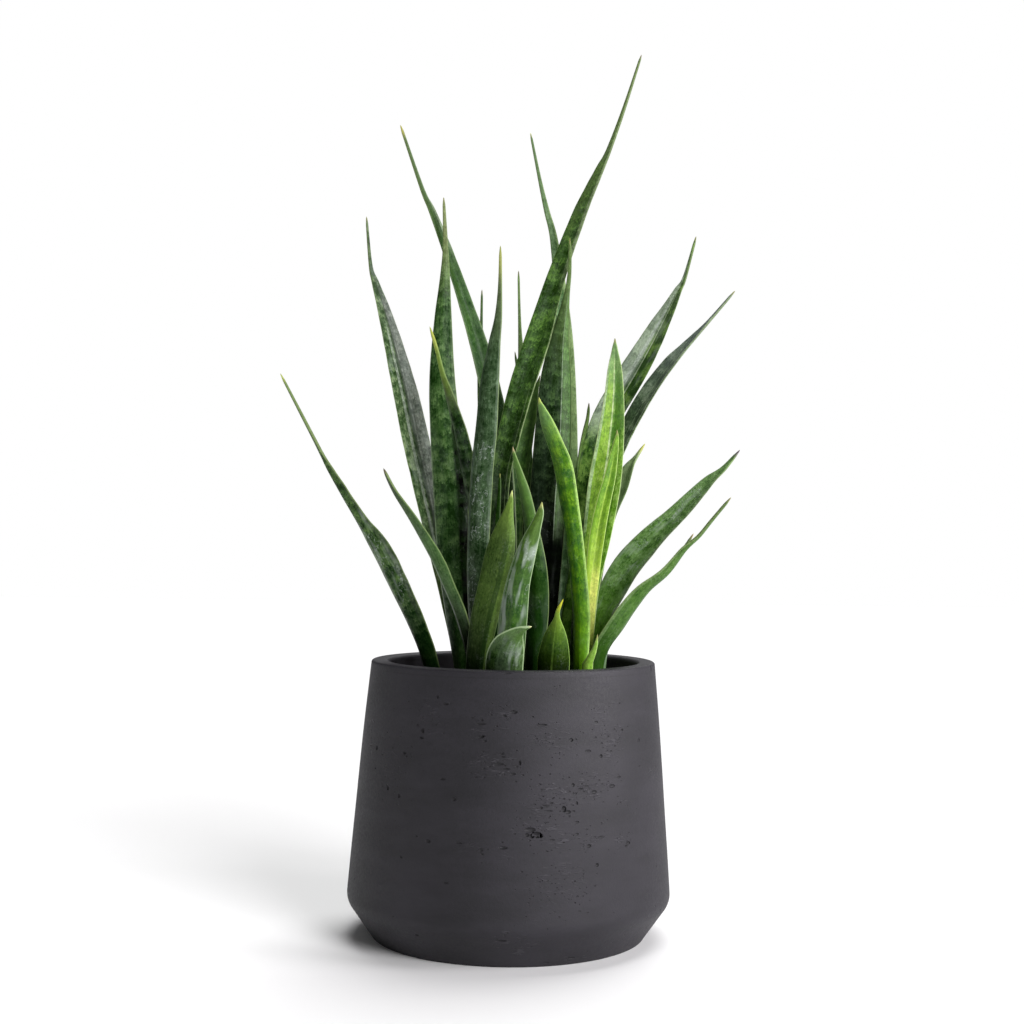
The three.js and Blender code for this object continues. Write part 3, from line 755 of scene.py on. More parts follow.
def makeSkinTree():
    tree = bpy.data.node_groups.new("leafSkin", "ShaderNodeTree")
    strips = range(mostStrips)
    colours = [*skinColours, *(f"strip{i}" for i in strips)]
    numbers = [*skinNumbers, *(f"{name}{i}" for i in strips for name in stripNumbers), "seed"]
    for names, kind in ((colours, "Color"), (numbers, "Float")):
        for name in names:
            tree.interface.new_socket(name, in_out="INPUT", socket_type="NodeSocket" + kind)
    for name, kind in (("Colour", "Color"), ("Roughness", "Float"), ("Gloss", "Float"), ("Height", "Float")):
        tree.interface.new_socket(name, in_out="OUTPUT", socket_type="NodeSocket" + kind)
    outputs = tree.nodes.new("NodeGroupInput").outputs
    given = {name: Wire(outputs[name]) for name in colours + numbers}
    along, across, side = (carried(tree, name) for name in ("along", "across", "side"))
    toTip, toEdge = (carried(tree, name) for name in ("toTip", "toEdge"))
    share = along / (along + toTip)
    shift = given["seed"] * 17.3   # every blade lies in a part of the noise of its own
    place = joined(across, along, shift)

    def stretched(x, y, detail=3.0, roughness=0.55):
        return speckle(place * (x, y, 1.0), 1.0, detail, roughness)

    def strayed(value, amount):   # how far a value lies from its middle
        return (value - 0.5) * amount

    def between(start, end, soft):   # 1 from one share of the blade to another, with soft ends
        return ramp(share - start, -soft, soft) * ramp(share - end, -soft, soft, 1.0, 0.0)

    fibre = stretched(1.2, 0.03, 4.0, 0.6)
    thread = stretched(3.4, 0.12, 2.0)
    cloud = stretched(0.09, 0.045, 2.0)
    blotch = stretched(0.26, 0.17, 4.0, 0.65)
    grain = stretched(0.75, 0.55, 3.0, 0.7)

    # Uneven pale cross-bands, with ends that run along the fibres
    bandAt = (along + (thread * 4.0 + grain * 9.0)) / given["bandLength"]
    band = ramp(speckle(joined(across * 0.07, bandAt, shift), 1.4), 0.42, 0.6)
    mottle = strayed(cloud, 1.6) + strayed(blotch, 2.6) + strayed(grain, 2.8)
    fibres = strayed(fibre, 1.8) + strayed(thread, 1.0)
    tone = strayed(band, given["bands"]) + mottle * given["mottle"] + fibres * given["fibres"] + 0.5
    colour = blended(ramp(tone, 0.05, 0.55), given["deep"], given["mid"])
    colour = blended(ramp(tone, 0.5, 1.0), colour, given["pale"])

    # Painted shade towards the foot, down in the clump, where a young shoot has its own pale sheath instead;
    # and mostly paler towards the tip, a painted light at the top of the clump
    footShadeAndSheath = ramp(share / given["footTo"], 0.45, 1.0, 1.0, 0.0)
    colour = blended(footShadeAndSheath * given["footStrength"], colour, given["foot"])
    nearTip = ramp(share, given["crownFrom"], 1.0)
    colour = blended(nearTip * given["crownStrength"], colour, given["crown"])
    # Strips along the blade: most paint light and shade across its folds (painted sheen on one facet, painted
    # shade on another, and painted shadow where a blade in front falls across), and the rest are real pale
    # lines
    for i in strips:
        strip = ramp(abs(side - given[f"place{i}"]) / given[f"width{i}"], 0.6, 1.0, 1.0, 0.0)
        strip = strip * between(given[f"start{i}"], given[f"end{i}"], 0.04)
        strength = given[f"strength{i}"] * ramp(tone, 0.1, 0.8, 0.5, 1.0)
        colour = blended(strip * strength, colour, given[f"strip{i}"])
    weave = strayed(stretched(0.9, 0.4, 2.0, 0.7), given["mottle"]) * 3.0
    colour = colour * (weave + 1.0)

    # A dull bloom of wax, with thin curved scratches and specks in it; on the glossy blades the bloom is a
    # painted sheen, soft pale streaks of reflected light
    bloomAndSheen = ramp(stretched(0.24, 0.05, 1.5, 0.5), 0.48, 0.68) * given["waxStrength"]
    scratch = ramp(abs(stretched(0.17, 0.1, 3.0, 0.6) - 0.5), 0.004, 0.03, 1.0, 0.0)
    scratch = scratch * ramp(stretched(0.1, 0.05, 2.0), 0.46, 0.58) * ramp(grain, 0.4, 0.6)
    specks = ramp(stretched(1.1, 0.9, 1.0), 0.72, 0.78) * 0.5
    rubbed = sums("MAXIMUM", scratch, specks) * given["scratches"]
    zone = between(given["waxFrom"], given["waxTo"], 0.05)
    wax = sums("MULTIPLY", bloomAndSheen + rubbed, zone, clamp=True)
    colour = blended(wax, colour, given["wax"])

    # Pale margins that begin above the foot, and the dry tip
    margin = ramp(toEdge / given["marginWidth"], 0.4, 1.0, 1.0, 0.0)
    margin = margin * given["marginStrength"] * ramp(share, 0.1, 0.25)
    colour = blended(margin, colour, given["margin"])
    point = ramp(toTip / given["tipLength"], 0.2, 1.0, 1.0, 0.0)
    colour = blended(point, colour, given["tip"])
    rough = given["roughness"] + wax * 0.2 + strayed(fibre, 0.25)
    gloss = ramp(vectors("LENGTH", colour), 0.0, 0.08) * given["gloss"]   # dull where it is dark
    height = fibre * 0.7 + thread * 0.25 + blotch * 0.6
    result = tree.nodes.new("NodeGroupOutput")
    for socket, value in zip(result.inputs, (colour, rough, gloss, height)):
        feed(socket, value)
    return tree


# The colour a blade is given, so that it looks as seen
def ownColour(seen):
    own = [light * skinLight["share"] - skinLight["gloss"] for light in paint(seen)[:3]]
    return (*(max(light, skinLight["least"]) for light in own), 1.0)


def makeSkin(name, skinTree, look, seed):
    material, tree, shader = newMaterial(name + "Skin")
    skin = addNode(tree, "ShaderNodeGroup", node_tree=skinTree)
    values = {**look, "seed": seed}
    strips = list(values.pop("strips", ()))
    strips += [noStrip] * (mostStrips - len(strips))
    for i, (*numbers, colour) in enumerate(strips):
        values[f"strip{i}"] = colour
        values.update({f"{part}{i}": number for part, number in zip(stripNumbers, numbers)})
    for part, value in values.items():
        feed(skin.inputs[part], ownColour(value) if isinstance(value, tuple) else value)
    finishSurface(shader, *(Wire(socket) for socket in skin.outputs), skinRelief)
    return material


# Each leaf: turn is the way its inner face looks from foot to tip, in degrees, where 0 looks along -Y and
# 90 along +X. route goes from the buried foot to the tip: x, y, z and the blade's width, in millimetres.
# form changes blade, look changes leafSkin, and young marks a young leaf.
leaves = {
    "leaf_far_left": {
        "turn": (126, 128, 108),
        "route": [
            (-46, -12, 146, 13), (-56.8, -15, 190, 18), (-69.3, -19, 223, 22.5), (-86.8, -25, 260, 26.5),
            (-97, -28.5, 279, 24), (-106, -32, 293, 15.5), (-122, -39, 320, 10.5), (-131.5, -43, 337, 4.6),
            (-138, -47, 350, 2.6), (-159, -62, 392, 1.6),
        ],
        "look": {
            "deep": (34, 54, 20), "mid": (58, 86, 40), "pale": (90, 118, 64), "foot": (26, 42, 10),
            "footTo": 0.45, "footStrength": 0.85, "crown": (80, 98, 64), "tip": (168, 180, 88),
            "tipLength": 9, "waxFrom": 0.34, "waxTo": 0.62, "scratches": 0.5, "waxStrength": 0.18,
            "mottle": 0.5,
            "strips": [
                (-0.92, 0.2, 0.3, 0.85, 0.4, (84, 88, 78)), (0.95, 0.08, 0.1, 0.9, 0.5, (112, 128, 96)),
            ],
        },
    },
    "leaf_left_tall": {
        "turn": (40, 38, 30),
        "route": [
            (-30, 12, 146, 12), (-36, 15, 189, 13), (-45.5, 17, 236, 17), (-59, 23, 294, 22.2),
            (-73, 32, 353, 24.4), (-84, 40, 399, 20.9), (-96.5, 50, 445, 13), (-105.5, 57, 474, 6.5),
            (-109.5, 60, 488, 3), (-114, 70, 527, 1.6),
        ],
        "look": {
            "deep": (50, 72, 40), "mid": (88, 112, 74), "pale": (134, 154, 112), "foot": (66, 88, 34),
            "footTo": 0.45, "crown": (86, 100, 82), "waxStrength": 0.15, "waxFrom": 0.3, "waxTo": 0.9,
            "bands": 0.55, "mottle": 0.7,
            # The grey half is a painted sheen, the dark line painted shade in the groove, and the pale stripe
            # beside it a painted highlight
            "strips": [
                (0.6, 0.5, 0.28, 0.84, 0.58, (160, 160, 162)), (0.16, 0.12, 0.25, 0.95, 0.75, (58, 70, 54)),
                (-0.14, 0.15, 0.3, 0.76, 0.8, (182, 194, 176)), (0.4, 0.05, 0.3, 0.85, 0.6, (96, 102, 92)),
            ],
        },
    },
    "leaf_left_inner": {
        "turn": (165, 172, 180),
        "route": [
            (-25, 0, 146, 14), (-33, 0, 190, 17), (-41.5, 0, 262, 24), (-45, 2, 312, 25),
            (-48.5, 4, 352, 23), (-52, 8, 396, 19), (-52, 13, 440, 13), (-51, 17, 472, 7.5),
            (-51, 20, 496, 4), (-53, 26, 533, 1.8),
        ],
        "form": {"Fold Place": 0.1},
        "look": {
            "deep": (36, 60, 26), "mid": (62, 92, 48), "pale": (98, 128, 76), "foot": (36, 60, 20),
            "footTo": 0.4, "crown": (150, 160, 110), "crownFrom": 0.78, "crownStrength": 0.8, "bands": 0.5,
            "mottle": 0.48,
            # The near-black strip is a painted shadow on the half that curves away under the blades in front
            "strips": [
                (-0.82, 0.46, 0.06, 0.58, 1.0, (7, 14, 4)), (-0.92, 0.12, 0.58, 1, 0.5, (126, 146, 112)),
                (0.97, 0.08, 0, 1, 0.6, (140, 160, 130)),
            ],
        },
    },
    "leaf_left_front": {
        "turn": (128, 120),
        "route": [
            (-26, -41, 146, 10), (-26.5, -42, 191, 11), (-34, -44, 224, 13.5), (-45, -49, 252, 15),
            (-53, -55, 269, 15.5), (-67, -66, 293, 11), (-79, -76, 312, 5.5), (-86, -85, 327, 1.8),
        ],
        "look": {
            "deep": (46, 72, 34), "mid": (76, 106, 60), "pale": (104, 132, 82), "foot": (10, 18, 2),
            "footTo": 0.6, "footStrength": 1.0, "crown": (62, 72, 55), "crownFrom": 0.62,
            "crownStrength": 0.8, "tip": (92, 86, 66), "bands": 0.15, "mottle": 0.35,
            "strips": [
                (0.88, 0.16, 0.1, 0.9, 0.6, (140, 160, 118)), (0.1, 0.06, 0.2, 0.8, 0.4, (110, 138, 92)),
            ],
        },
    },
    "leaf_slender": {
        "turn": (150, 150),
        "route": [
            (-19, -18, 146, 9), (-18, -17, 191, 10), (-19, -16, 223, 11), (-22, -18, 266, 13),
            (-27, -20, 308, 14), (-36, -24, 350, 11.5), (-44, -27, 378, 7.5), (-50, -29.5, 397, 4),
            (-54, -32, 413, 2.8), (-59, -34, 429, 1.6),
        ],
        "look": {
            "deep": (20, 36, 14), "mid": (40, 62, 32), "pale": (70, 96, 52), "foot": (8, 18, 3),
            "footTo": 0.7, "footStrength": 0.85, "crown": (132, 158, 70), "crownFrom": 0.76,
            "crownStrength": 1.0, "mottle": 0.35, "tip": (176, 184, 88), "tipLength": 22,
            "strips": [(0.7, 0.3, 0.5, 0.8, 0.12, (92, 122, 80))],
        },
    },
    "leaf_waxy": {
        "turn": (168, 165, 155),
        "route": [
            (-20, -29, 146, 11), (-21, -30, 192, 12), (-24, -32, 252, 15.5), (-22, -34, 322, 16.5),
            (-19, -36, 357, 16), (-17, -38, 390, 14), (-14, -40, 415, 9.5), (-11, -41, 436, 5.5),
            (-10, -43, 456, 3), (-10, -46, 484, 1.6),
        ],
        "look": {
            "deep": (32, 50, 28), "mid": (56, 76, 50), "pale": (88, 110, 82), "foot": (44, 66, 20),
            "footTo": 0.35, "crown": (112, 126, 88), "crownFrom": 0.76, "crownStrength": 0.85,
            "tip": (164, 170, 98), "tipLength": 30, "waxStrength": 0.06, "waxFrom": 0.12, "waxTo": 0.6,
            "scratches": 0.5, "bands": 0.25, "mottle": 0.45,
            "strips": [
                (0.86, 0.2, 0.1, 0.95, 0.3, (96, 114, 98)), (-0.9, 0.12, 0.2, 0.95, 0.5, (108, 128, 104)),
            ],
        },
    },
    "leaf_spear": {
        "turn": (160, 160),
        "route": [
            (-10, -24, 146, 5.5), (-10.5, -24.5, 192, 6), (-10.5, -25.5, 245, 6), (-10, -27, 290, 4),
            (-9, -27.5, 313, 2.6), (-8.7, -28, 327, 1.6),
        ],
        "young": True,
        "look": {
            "deep": (24, 46, 5), "mid": (38, 66, 9), "pale": (64, 98, 20), "foot": (6, 12, 2),
            "footTo": 0.5, "crown": (52, 84, 18), "bands": 0.1, "tip": (150, 150, 90), "tipLength": 4,
            "marginStrength": 0.12,
        },
    },
    "leaf_tallest": {
        "turn": (-10, -15, -25),
        "route": [
            (-6, -11, 146, 11), (-7, -13, 191, 12), (-10, -15, 266, 14), (-9, -11, 323, 16),
            (-3, -7, 352, 17), (6, -1, 388, 19), (17.5, 7, 425, 19.5), (26, 15, 456, 16.2),
            (35.5, 24, 487, 13.8), (49.7, 36, 527, 11.3), (63, 47, 558, 7.5), (70, 53, 575, 4.6),
            (82, 66, 610, 3), (97, 86, 659, 1.6),
        ],
        "look": {
            "deep": (42, 64, 28), "mid": (60, 88, 44), "pale": (94, 130, 60), "foot": (18, 32, 3),
            "footTo": 0.5, "footStrength": 0.85, "crown": (112, 132, 84), "crownFrom": 0.64,
            "crownStrength": 0.95, "tip": (150, 140, 110), "mottle": 0.55, "bandLength": 7, "bands": 0.45,
            # The pale edge is a painted highlight, and the dark and pale strips across the upper blade are
            # painted shade and light
            "strips": [
                (0.96, 0.06, 0.38, 0.56, 0.7, (172, 190, 142)), (-0.5, 0.35, 0.68, 1, 0.6, (70, 90, 46)),
                (0.64, 0.05, 0.1, 0.45, 0.6, (124, 142, 104)), (0.8, 0.32, 0.62, 1, 0.65, (154, 172, 130)),
            ],
        },
    },
    "leaf_long_left": {
        "turn": (15, 20, 30),
        "route": [
            (-2, 8, 146, 9), (-2, 8, 190, 10), (-3, 9, 237, 12), (-4, 10, 285, 15), (-10, 14, 353, 16.5),
            (-21, 19, 405, 16), (-35, 24, 450, 12), (-50, 29, 493, 8.8), (-62, 33, 524, 6),
            (-69.5, 36, 541, 3.6), (-87, 44, 591, 1.8),
        ],
        "look": {
            "deep": (34, 62, 22), "mid": (58, 90, 44), "pale": (86, 120, 66), "foot": (10, 20, 3),
            "footTo": 0.7, "footStrength": 0.9, "crown": (104, 126, 84), "crownFrom": 0.74,
            "crownStrength": 1.0, "tip": (190, 186, 104), "tipLength": 14, "bands": 0.15, "mottle": 0.35,
            # The dark and pale strips across the upper blade are painted shade and light
            "strips": [
                (0.93, 0.1, 0.2, 0.95, 0.5, (122, 144, 104)), (-0.93, 0.1, 0.2, 0.7, 0.4, (108, 130, 88)),
                (0.75, 0.38, 0.78, 1, 0.8, (162, 180, 148)), (-0.5, 0.35, 0.66, 1, 0.6, (60, 82, 42)),
            ],
        },
    },
    "leaf_middle_back": {
        "turn": (5, 5),
        "route": [
            (4, 18, 146, 9), (4, 19, 190, 10), (3, 21, 235, 11), (2, 24, 288, 12), (4, 27, 325, 14.5),
            (8.5, 29, 354, 13), (13, 31, 374, 9), (17, 33, 392, 3.8), (20, 34, 403, 1.6),
        ],
        "look": {
            "deep": (36, 62, 24), "mid": (56, 90, 40), "pale": (92, 126, 62), "foot": (10, 20, 3),
            "footTo": 0.7, "crown": (116, 150, 84), "mottle": 0.35,
            "strips": [(0.8, 0.3, 0.2, 0.9, 0.7, (100, 134, 68))],
        },
    },
    "leaf_olive": {
        "turn": (172, 165),
        "route": [
            (-24, -54, 146, 13), (-23, -55, 192, 16), (-19, -56, 223, 19), (-13, -57, 249, 20.5),
            (-9, -59, 268, 20.5), (-6, -61, 282, 17), (-3.5, -63, 295, 9.5), (-1.5, -64.5, 304, 5),
            (0, -66, 314, 2),
        ],
        "form": {"Fold Place": -0.35},
        "look": {
            "deep": (44, 62, 26), "mid": (66, 88, 42), "pale": (90, 112, 58), "foot": (24, 36, 8),
            "footTo": 0.6, "footStrength": 0.85, "crown": (118, 148, 66), "crownFrom": 0.76,
            "crownStrength": 0.85, "tip": (202, 212, 136), "bands": 0.15, "mottle": 0.42,
            "margin": (120, 146, 90), "waxStrength": 0.0,
            # The dark strip is painted shade along the fold
            "strips": [
                (-0.42, 0.2, 0.1, 0.8, 0.6, (34, 52, 16)), (-0.85, 0.3, 0.2, 1, 0.45, (96, 124, 56)),
            ],
        },
    },
    "leaf_glossy": {
        "turn": (172, 160),
        "route": [
            (-1, -62, 146, 15), (-1, -64, 192, 19), (1, -66, 226, 20), (4, -69, 250, 17), (8, -71, 266, 15),
            (12, -73, 279, 12), (16, -75, 290, 8), (19, -76.5, 299, 5), (20, -78, 306, 2.2),
        ],
        "look": {
            "deep": (36, 68, 18), "mid": (60, 94, 36), "pale": (92, 128, 62), "foot": (58, 86, 34),
            "footTo": 0.25, "crown": (98, 126, 58), "crownStrength": 0.6, "tip": (176, 180, 112),
            # The pale streaks of its bloom are a painted sheen
            "bands": 0.2, "mottle": 0.35, "waxStrength": 0.42, "waxFrom": 0.38, "waxTo": 0.85,
            "scratches": 0.3, "gloss": 0.3, "roughness": 0.34, "margin": (156, 180, 134),
            "marginStrength": 0.8,
            "strips": [
                (0.9, 0.1, 0.1, 0.95, 0.6, (156, 180, 146)), (-0.8, 0.22, 0.1, 0.95, 0.5, (44, 72, 26)),
                (0.1, 0.05, 0.1, 0.85, 0.4, (48, 78, 28)),
            ],
        },
    },
    "leaf_curled": {
        "turn": (180, 185),
        "route": [
            (-4, -71, 146, 22), (-4, -75, 178, 24), (-4, -80, 196, 25.5), (-2.5, -85, 206, 24),
            (0, -90, 213, 19), (4, -95, 218.5, 11), (9, -98, 222, 5), (14, -100, 223.5, 1.8),
        ],
        "look": {
            "deep": (38, 64, 22), "mid": (66, 96, 46), "pale": (94, 126, 72), "foot": (14, 28, 4),
            "footTo": 0.9, "crown": (104, 132, 80), "tip": (190, 192, 140), "tipLength": 3, "bands": 0.2,
            # The pale streaks of its bloom are a painted sheen
            "gloss": 0.3, "roughness": 0.34, "waxStrength": 0.24, "waxFrom": 0.45, "waxTo": 0.8,
            "scratches": 0.22, "mottle": 0.45, "margin": (168, 192, 146), "marginWidth": 0.8,
            "marginStrength": 0.9,
            "strips": [
                (0.1, 0.5, 0.42, 0.75, 0.12, (150, 168, 150)), (-0.75, 0.25, 0.2, 0.8, 0.4, (110, 138, 90)),
            ],
        },
    },
    "leaf_broad": {
        "turn": (178, 175),
        "route": [
            (28, -61, 146, 18), (29, -64, 192, 22), (29.5, -67, 204, 20.5), (30, -69, 213, 17),
            (30.5, -71, 219, 12.5), (31, -74, 227, 5), (31.5, -76, 233, 2.8), (35, -80, 241, 1.6),
        ],
        "look": {
            "deep": (44, 78, 12), "mid": (72, 108, 30), "pale": (104, 138, 52), "foot": (10, 22, 2),
            "footTo": 0.9, "footStrength": 0.95, "crown": (132, 158, 60), "crownFrom": 0.66,
            "crownStrength": 0.85, "tip": (196, 196, 60), "tipLength": 12, "bands": 0.1, "mottle": 0.36,
            "waxStrength": 0.0, "margin": (134, 166, 84), "marginStrength": 0.8,
            "strips": [(0.1, 0.08, 0.1, 0.9, 0.4, (116, 150, 66))],
        },
    },
    "leaf_leaning": {
        "turn": (170, 160),
        "route": [
            (15, -43, 146, 11), (16, -44, 193, 13), (18, -44, 230, 16), (17, -46, 260, 15),
            (13, -49, 290, 10.5), (9, -51, 311, 8), (5, -53, 325, 5.5), (1.5, -55, 337, 3),
            (0, -56, 344, 1.6),
        ],
        "look": {
            "deep": (26, 48, 12), "mid": (46, 76, 28), "pale": (78, 112, 48), "foot": (34, 54, 8),
            "footTo": 0.74, "footStrength": 0.85, "crown": (92, 126, 62), "crownFrom": 0.55,
            "crownStrength": 0.8, "tip": (186, 166, 130), "tipLength": 5, "bands": 0.25, "mottle": 0.3,
            "strips": [(0.9, 0.1, 0.1, 0.95, 0.5, (92, 122, 66))],
        },
    },
    "leaf_bright_front": {
        "turn": (160, 158),
        "route": [
            (48, -46, 146, 9), (48, -47, 192, 11), (48.5, -46, 225, 12.5), (46, -45, 255, 12.5),
            (42, -47, 288, 13), (38, -48, 312, 14), (34.5, -50, 331, 14), (29, -53, 346, 12),
            (23, -55, 361, 9.5), (19, -57, 372, 4.5), (17.5, -58, 378, 1.8),
        ],
        "young": True,
        "look": {
            "deep": (44, 86, 4), "mid": (70, 112, 12), "pale": (104, 146, 36), "foot": (92, 138, 6),
            "footTo": 0.46, "crown": (108, 140, 84), "crownFrom": 0.8, "crownStrength": 0.8, "bands": 0.35,
            "mottle": 0.5, "margin": (160, 194, 108), "marginStrength": 0.8, "tip": (178, 190, 100),
            "strips": [
                (-0.93, 0.12, 0.2, 0.95, 0.7, (148, 184, 92)), (0.45, 0.25, 0.1, 0.6, 0.4, (98, 142, 22)),
                (0.05, 0.07, 0.1, 0.9, 0.35, (52, 92, 6)),
            ],
        },
    },
    "leaf_bright_outer": {
        "turn": (0, -3),
        "route": [
            (51, -20, 146, 10), (51.5, -21, 193, 12), (53, -21, 229, 14), (55, -21, 255, 17),
            (60, -20, 283, 20), (65, -19, 319, 23), (69, -18, 350, 19.5), (71.5, -17, 380, 14.5),
            (72, -15, 402, 10.3), (72, -14.5, 416, 4.6), (72, -14, 425, 1.8),
        ],
        "young": True,
        "look": {
            "deep": (72, 120, 24), "mid": (110, 156, 52), "pale": (150, 188, 92), "foot": (98, 140, 14),
            "footTo": 0.48, "footStrength": 0.95, "crown": (122, 152, 108), "crownFrom": 0.66,
            "crownStrength": 0.7, "margin": (200, 218, 156), "marginStrength": 0.8, "bands": 0.45,
            "mottle": 0.5,
            "strips": [
                (-0.45, 0.4, 0.4, 0.9, 0.5, (150, 184, 56)), (0.42, 0.3, 0.3, 0.9, 0.75, (66, 116, 24)),
                (-0.06, 0.08, 0.4, 0.95, 0.85, (204, 222, 166)),
                (-0.87, 0.12, 0.5, 0.95, 0.6, (184, 200, 168)),
            ],
        },
    },
    "leaf_bright_inner": {
        "turn": (10, 10),
        "route": [
            (53, -30, 146, 8), (53, -31, 193, 9), (54, -31, 225, 9.5), (57, -31, 262, 10.5),
            (60, -30.5, 287, 11), (64, -30.5, 308, 10), (68, -30, 324, 8.5), (71, -30, 341, 6),
            (73, -30, 353, 3), (73, -30, 358.5, 1.6),
        ],
        "young": True,
        "look": {
            "deep": (60, 104, 12), "mid": (92, 132, 26), "pale": (134, 176, 58), "foot": (176, 208, 76),
            "footTo": 0.8, "footStrength": 1.0, "crown": (124, 164, 76), "bands": 0.35, "mottle": 0.36,
            "margin": (196, 218, 132), "marginStrength": 0.8,
            "strips": [
                (0.0, 0.12, 0.5, 0.9, 0.6, (178, 208, 96)), (-0.8, 0.3, 0.5, 0.9, 0.5, (76, 122, 20)),
                (0.5, 0.1, 0.5, 0.9, 0.4, (70, 116, 20)), (0.4, 0.65, 0, 0.52, 0.9, (250, 254, 136)),
            ],
        },
    },
    "leaf_bright_sheath": {
        "turn": (180, 180),
        "route": [
            (51, -57, 146, 7), (52.5, -59, 193, 7.5), (54, -60, 199, 5.8), (56.5, -61, 205, 4),
            (58, -62, 210, 2.6), (59, -64, 217, 1.6),
        ],
        "young": True,
        "look": {
            "deep": (88, 136, 38), "mid": (128, 170, 66), "pale": (160, 196, 104), "foot": (120, 160, 60),
            "crown": (140, 176, 84), "bands": 0.1, "margin": (198, 216, 150), "mottle": 0.35,
        },
    },
    "leaf_wide": {
        "turn": (178, 178),
        "route": [
            (24, 8, 146, 13), (24, 8, 190, 14), (25, 8, 236, 18.5), (25, 9, 270, 24), (26, 11, 309, 27),
            (29, 15, 353, 27), (31, 18, 397, 23), (33.5, 18.5, 427, 14), (38, 16, 457, 5), (40, 14, 474, 3),
            (40.3, 13, 488, 2.4), (40, 12, 501, 1.6),
        ],
        "form": {"Fold Place": -0.4, "Fold": 0.8},
        "look": {
            "deep": (36, 56, 30), "mid": (62, 86, 54), "pale": (94, 126, 74), "foot": (4, 10, 2),
            "footTo": 0.82, "footStrength": 0.97, "crown": (126, 152, 92), "crownFrom": 0.66,
            "crownStrength": 0.6, "bands": 0.6, "bandLength": 6, "mottle": 0.5,
            "strips": [
                (0.6, 0.5, 0.4, 0.8, 0.3, (62, 80, 60)), (-0.72, 0.36, 0.4, 0.88, 0.6, (100, 138, 74)),
                (-0.4, 0.035, 0.4, 0.92, 0.7, (160, 180, 150)), (-0.97, 0.06, 0.3, 0.9, 0.7, (30, 40, 26)),
            ],
        },
    },
    "leaf_right_wide": {
        "turn": (-15, -25, -35),
        "route": [
            (37, 16, 146, 11), (38, 17, 189, 12), (43, 19, 222, 12.5), (50, 22, 265, 14), (53, 25, 297, 16),
            (59, 30, 335, 20), (70, 34, 370, 24), (87, 40, 400, 25.2), (104, 45, 431, 20.2),
            (116, 49, 454, 13), (124, 53, 470, 7), (129, 55, 481, 3.4), (138, 62, 513, 1.6),
        ],
        "look": {
            "deep": (44, 74, 22), "mid": (80, 116, 50), "pale": (126, 162, 78), "foot": (70, 110, 20),
            "footTo": 0.35, "crown": (132, 154, 112), "bands": 0.75, "bandLength": 13, "mottle": 0.5,
            # Its bloom and the pale grey strips on its left half are a painted sheen
            "waxStrength": 0.2, "waxFrom": 0.5,
            "strips": [
                (-0.55, 0.55, 0.56, 0.94, 0.66, (192, 204, 188)),
                (0.04, 0.06, 0.4, 0.95, 0.85, (196, 210, 180)), (0.15, 0.07, 0.4, 0.9, 0.5, (44, 68, 30)),
                (-0.3, 0.14, 0.6, 0.85, 0.5, (206, 214, 208)),
            ],
        },
    },
    "leaf_right_narrow": {
        "turn": (-55, -50, -45),
        "route": [
            (46, 3, 146, 11), (47, 3, 190, 12), (49, 3, 223, 12.5), (52, 4, 259, 13.5), (58, 6, 295, 15),
            (67, 9, 323.5, 18), (83, 12, 359.5, 18), (100, 15.5, 390, 17.3), (116.5, 18, 412.5, 14),
            (130, 20, 428, 8), (144, 23, 443.5, 3), (163, 26, 466, 1.6),
        ],
        "look": {
            "deep": (54, 72, 48), "mid": (90, 112, 80), "pale": (136, 154, 124), "foot": (48, 74, 22),
            "footTo": 0.4, "crown": (116, 126, 122), "crownStrength": 0.85, "bands": 0.6, "mottle": 0.5,
            "strips": [
                (0.78, 0.12, 0.3, 0.92, 0.75, (176, 196, 162)), (0.0, 0.05, 0.3, 0.9, 0.6, (150, 168, 138)),
                (-0.5, 0.3, 0.3, 0.7, 0.35, (66, 86, 56)),
            ],
        },
    },
    "leaf_right_short": {
        "turn": (-45, -45),
        "route": [
            (57, 10, 146, 9), (57, 10, 190, 10), (59, 10, 223, 11), (62, 11, 252, 12), (67, 12, 281, 13),
            (72, 13, 300, 14), (79, 14, 317, 15), (84, 15, 331, 12), (89, 16, 340, 5), (93, 17, 346, 2.6),
            (97, 18, 352, 1.6),
        ],
        "look": {
            "deep": (104, 124, 90), "mid": (136, 158, 118), "pale": (150, 170, 134), "foot": (92, 128, 52),
            "footTo": 0.4, "crown": (160, 180, 124), "tip": (184, 184, 96), "tipLength": 12, "mottle": 0.35,
            "strips": [(0.85, 0.15, 0.3, 0.95, 0.5, (150, 170, 130))],
        },
    },
    "leaf_right_low": {
        "turn": (-40, -35, -30),
        "route": [
            (60, -11, 146, 12), (61, -13, 192, 14.5), (63.5, -15, 222.5, 18.5), (71, -16, 241, 22),
            (81, -18, 259.5, 23.5), (92, -20, 273.5, 22.5), (104.3, -22, 287, 19), (118, -24, 300.5, 15.5),
            (131.5, -27, 315.3, 11.5), (138.8, -29, 323.3, 8.5), (147.8, -31, 331.5, 4.5),
            (159, -34, 345, 1.6),
        ],
        "look": {
            "deep": (70, 106, 48), "mid": (110, 148, 82), "pale": (132, 166, 106), "foot": (116, 168, 44),
            "footTo": 0.5, "crown": (108, 134, 96), "tip": (108, 98, 104), "tipLength": 9,
            "waxStrength": 0.22, "waxFrom": 0.35, "waxTo": 0.85, "scratches": 0.4, "bands": 0.4,
            "mottle": 0.5,
            "strips": [
                (0.94, 0.1, 0.2, 0.95, 0.6, (124, 114, 122)),
                (-0.94, 0.08, 0.2, 0.95, 0.5, (146, 168, 126)),
            ],
        },
    },
    "leaf_right_front": {
        "turn": (-130, -125),
        "route": [
            (58, -38, 146, 11.5), (60.5, -40, 190, 13.5), (64.5, -42, 207, 18.5), (73, -44, 220, 22.5),
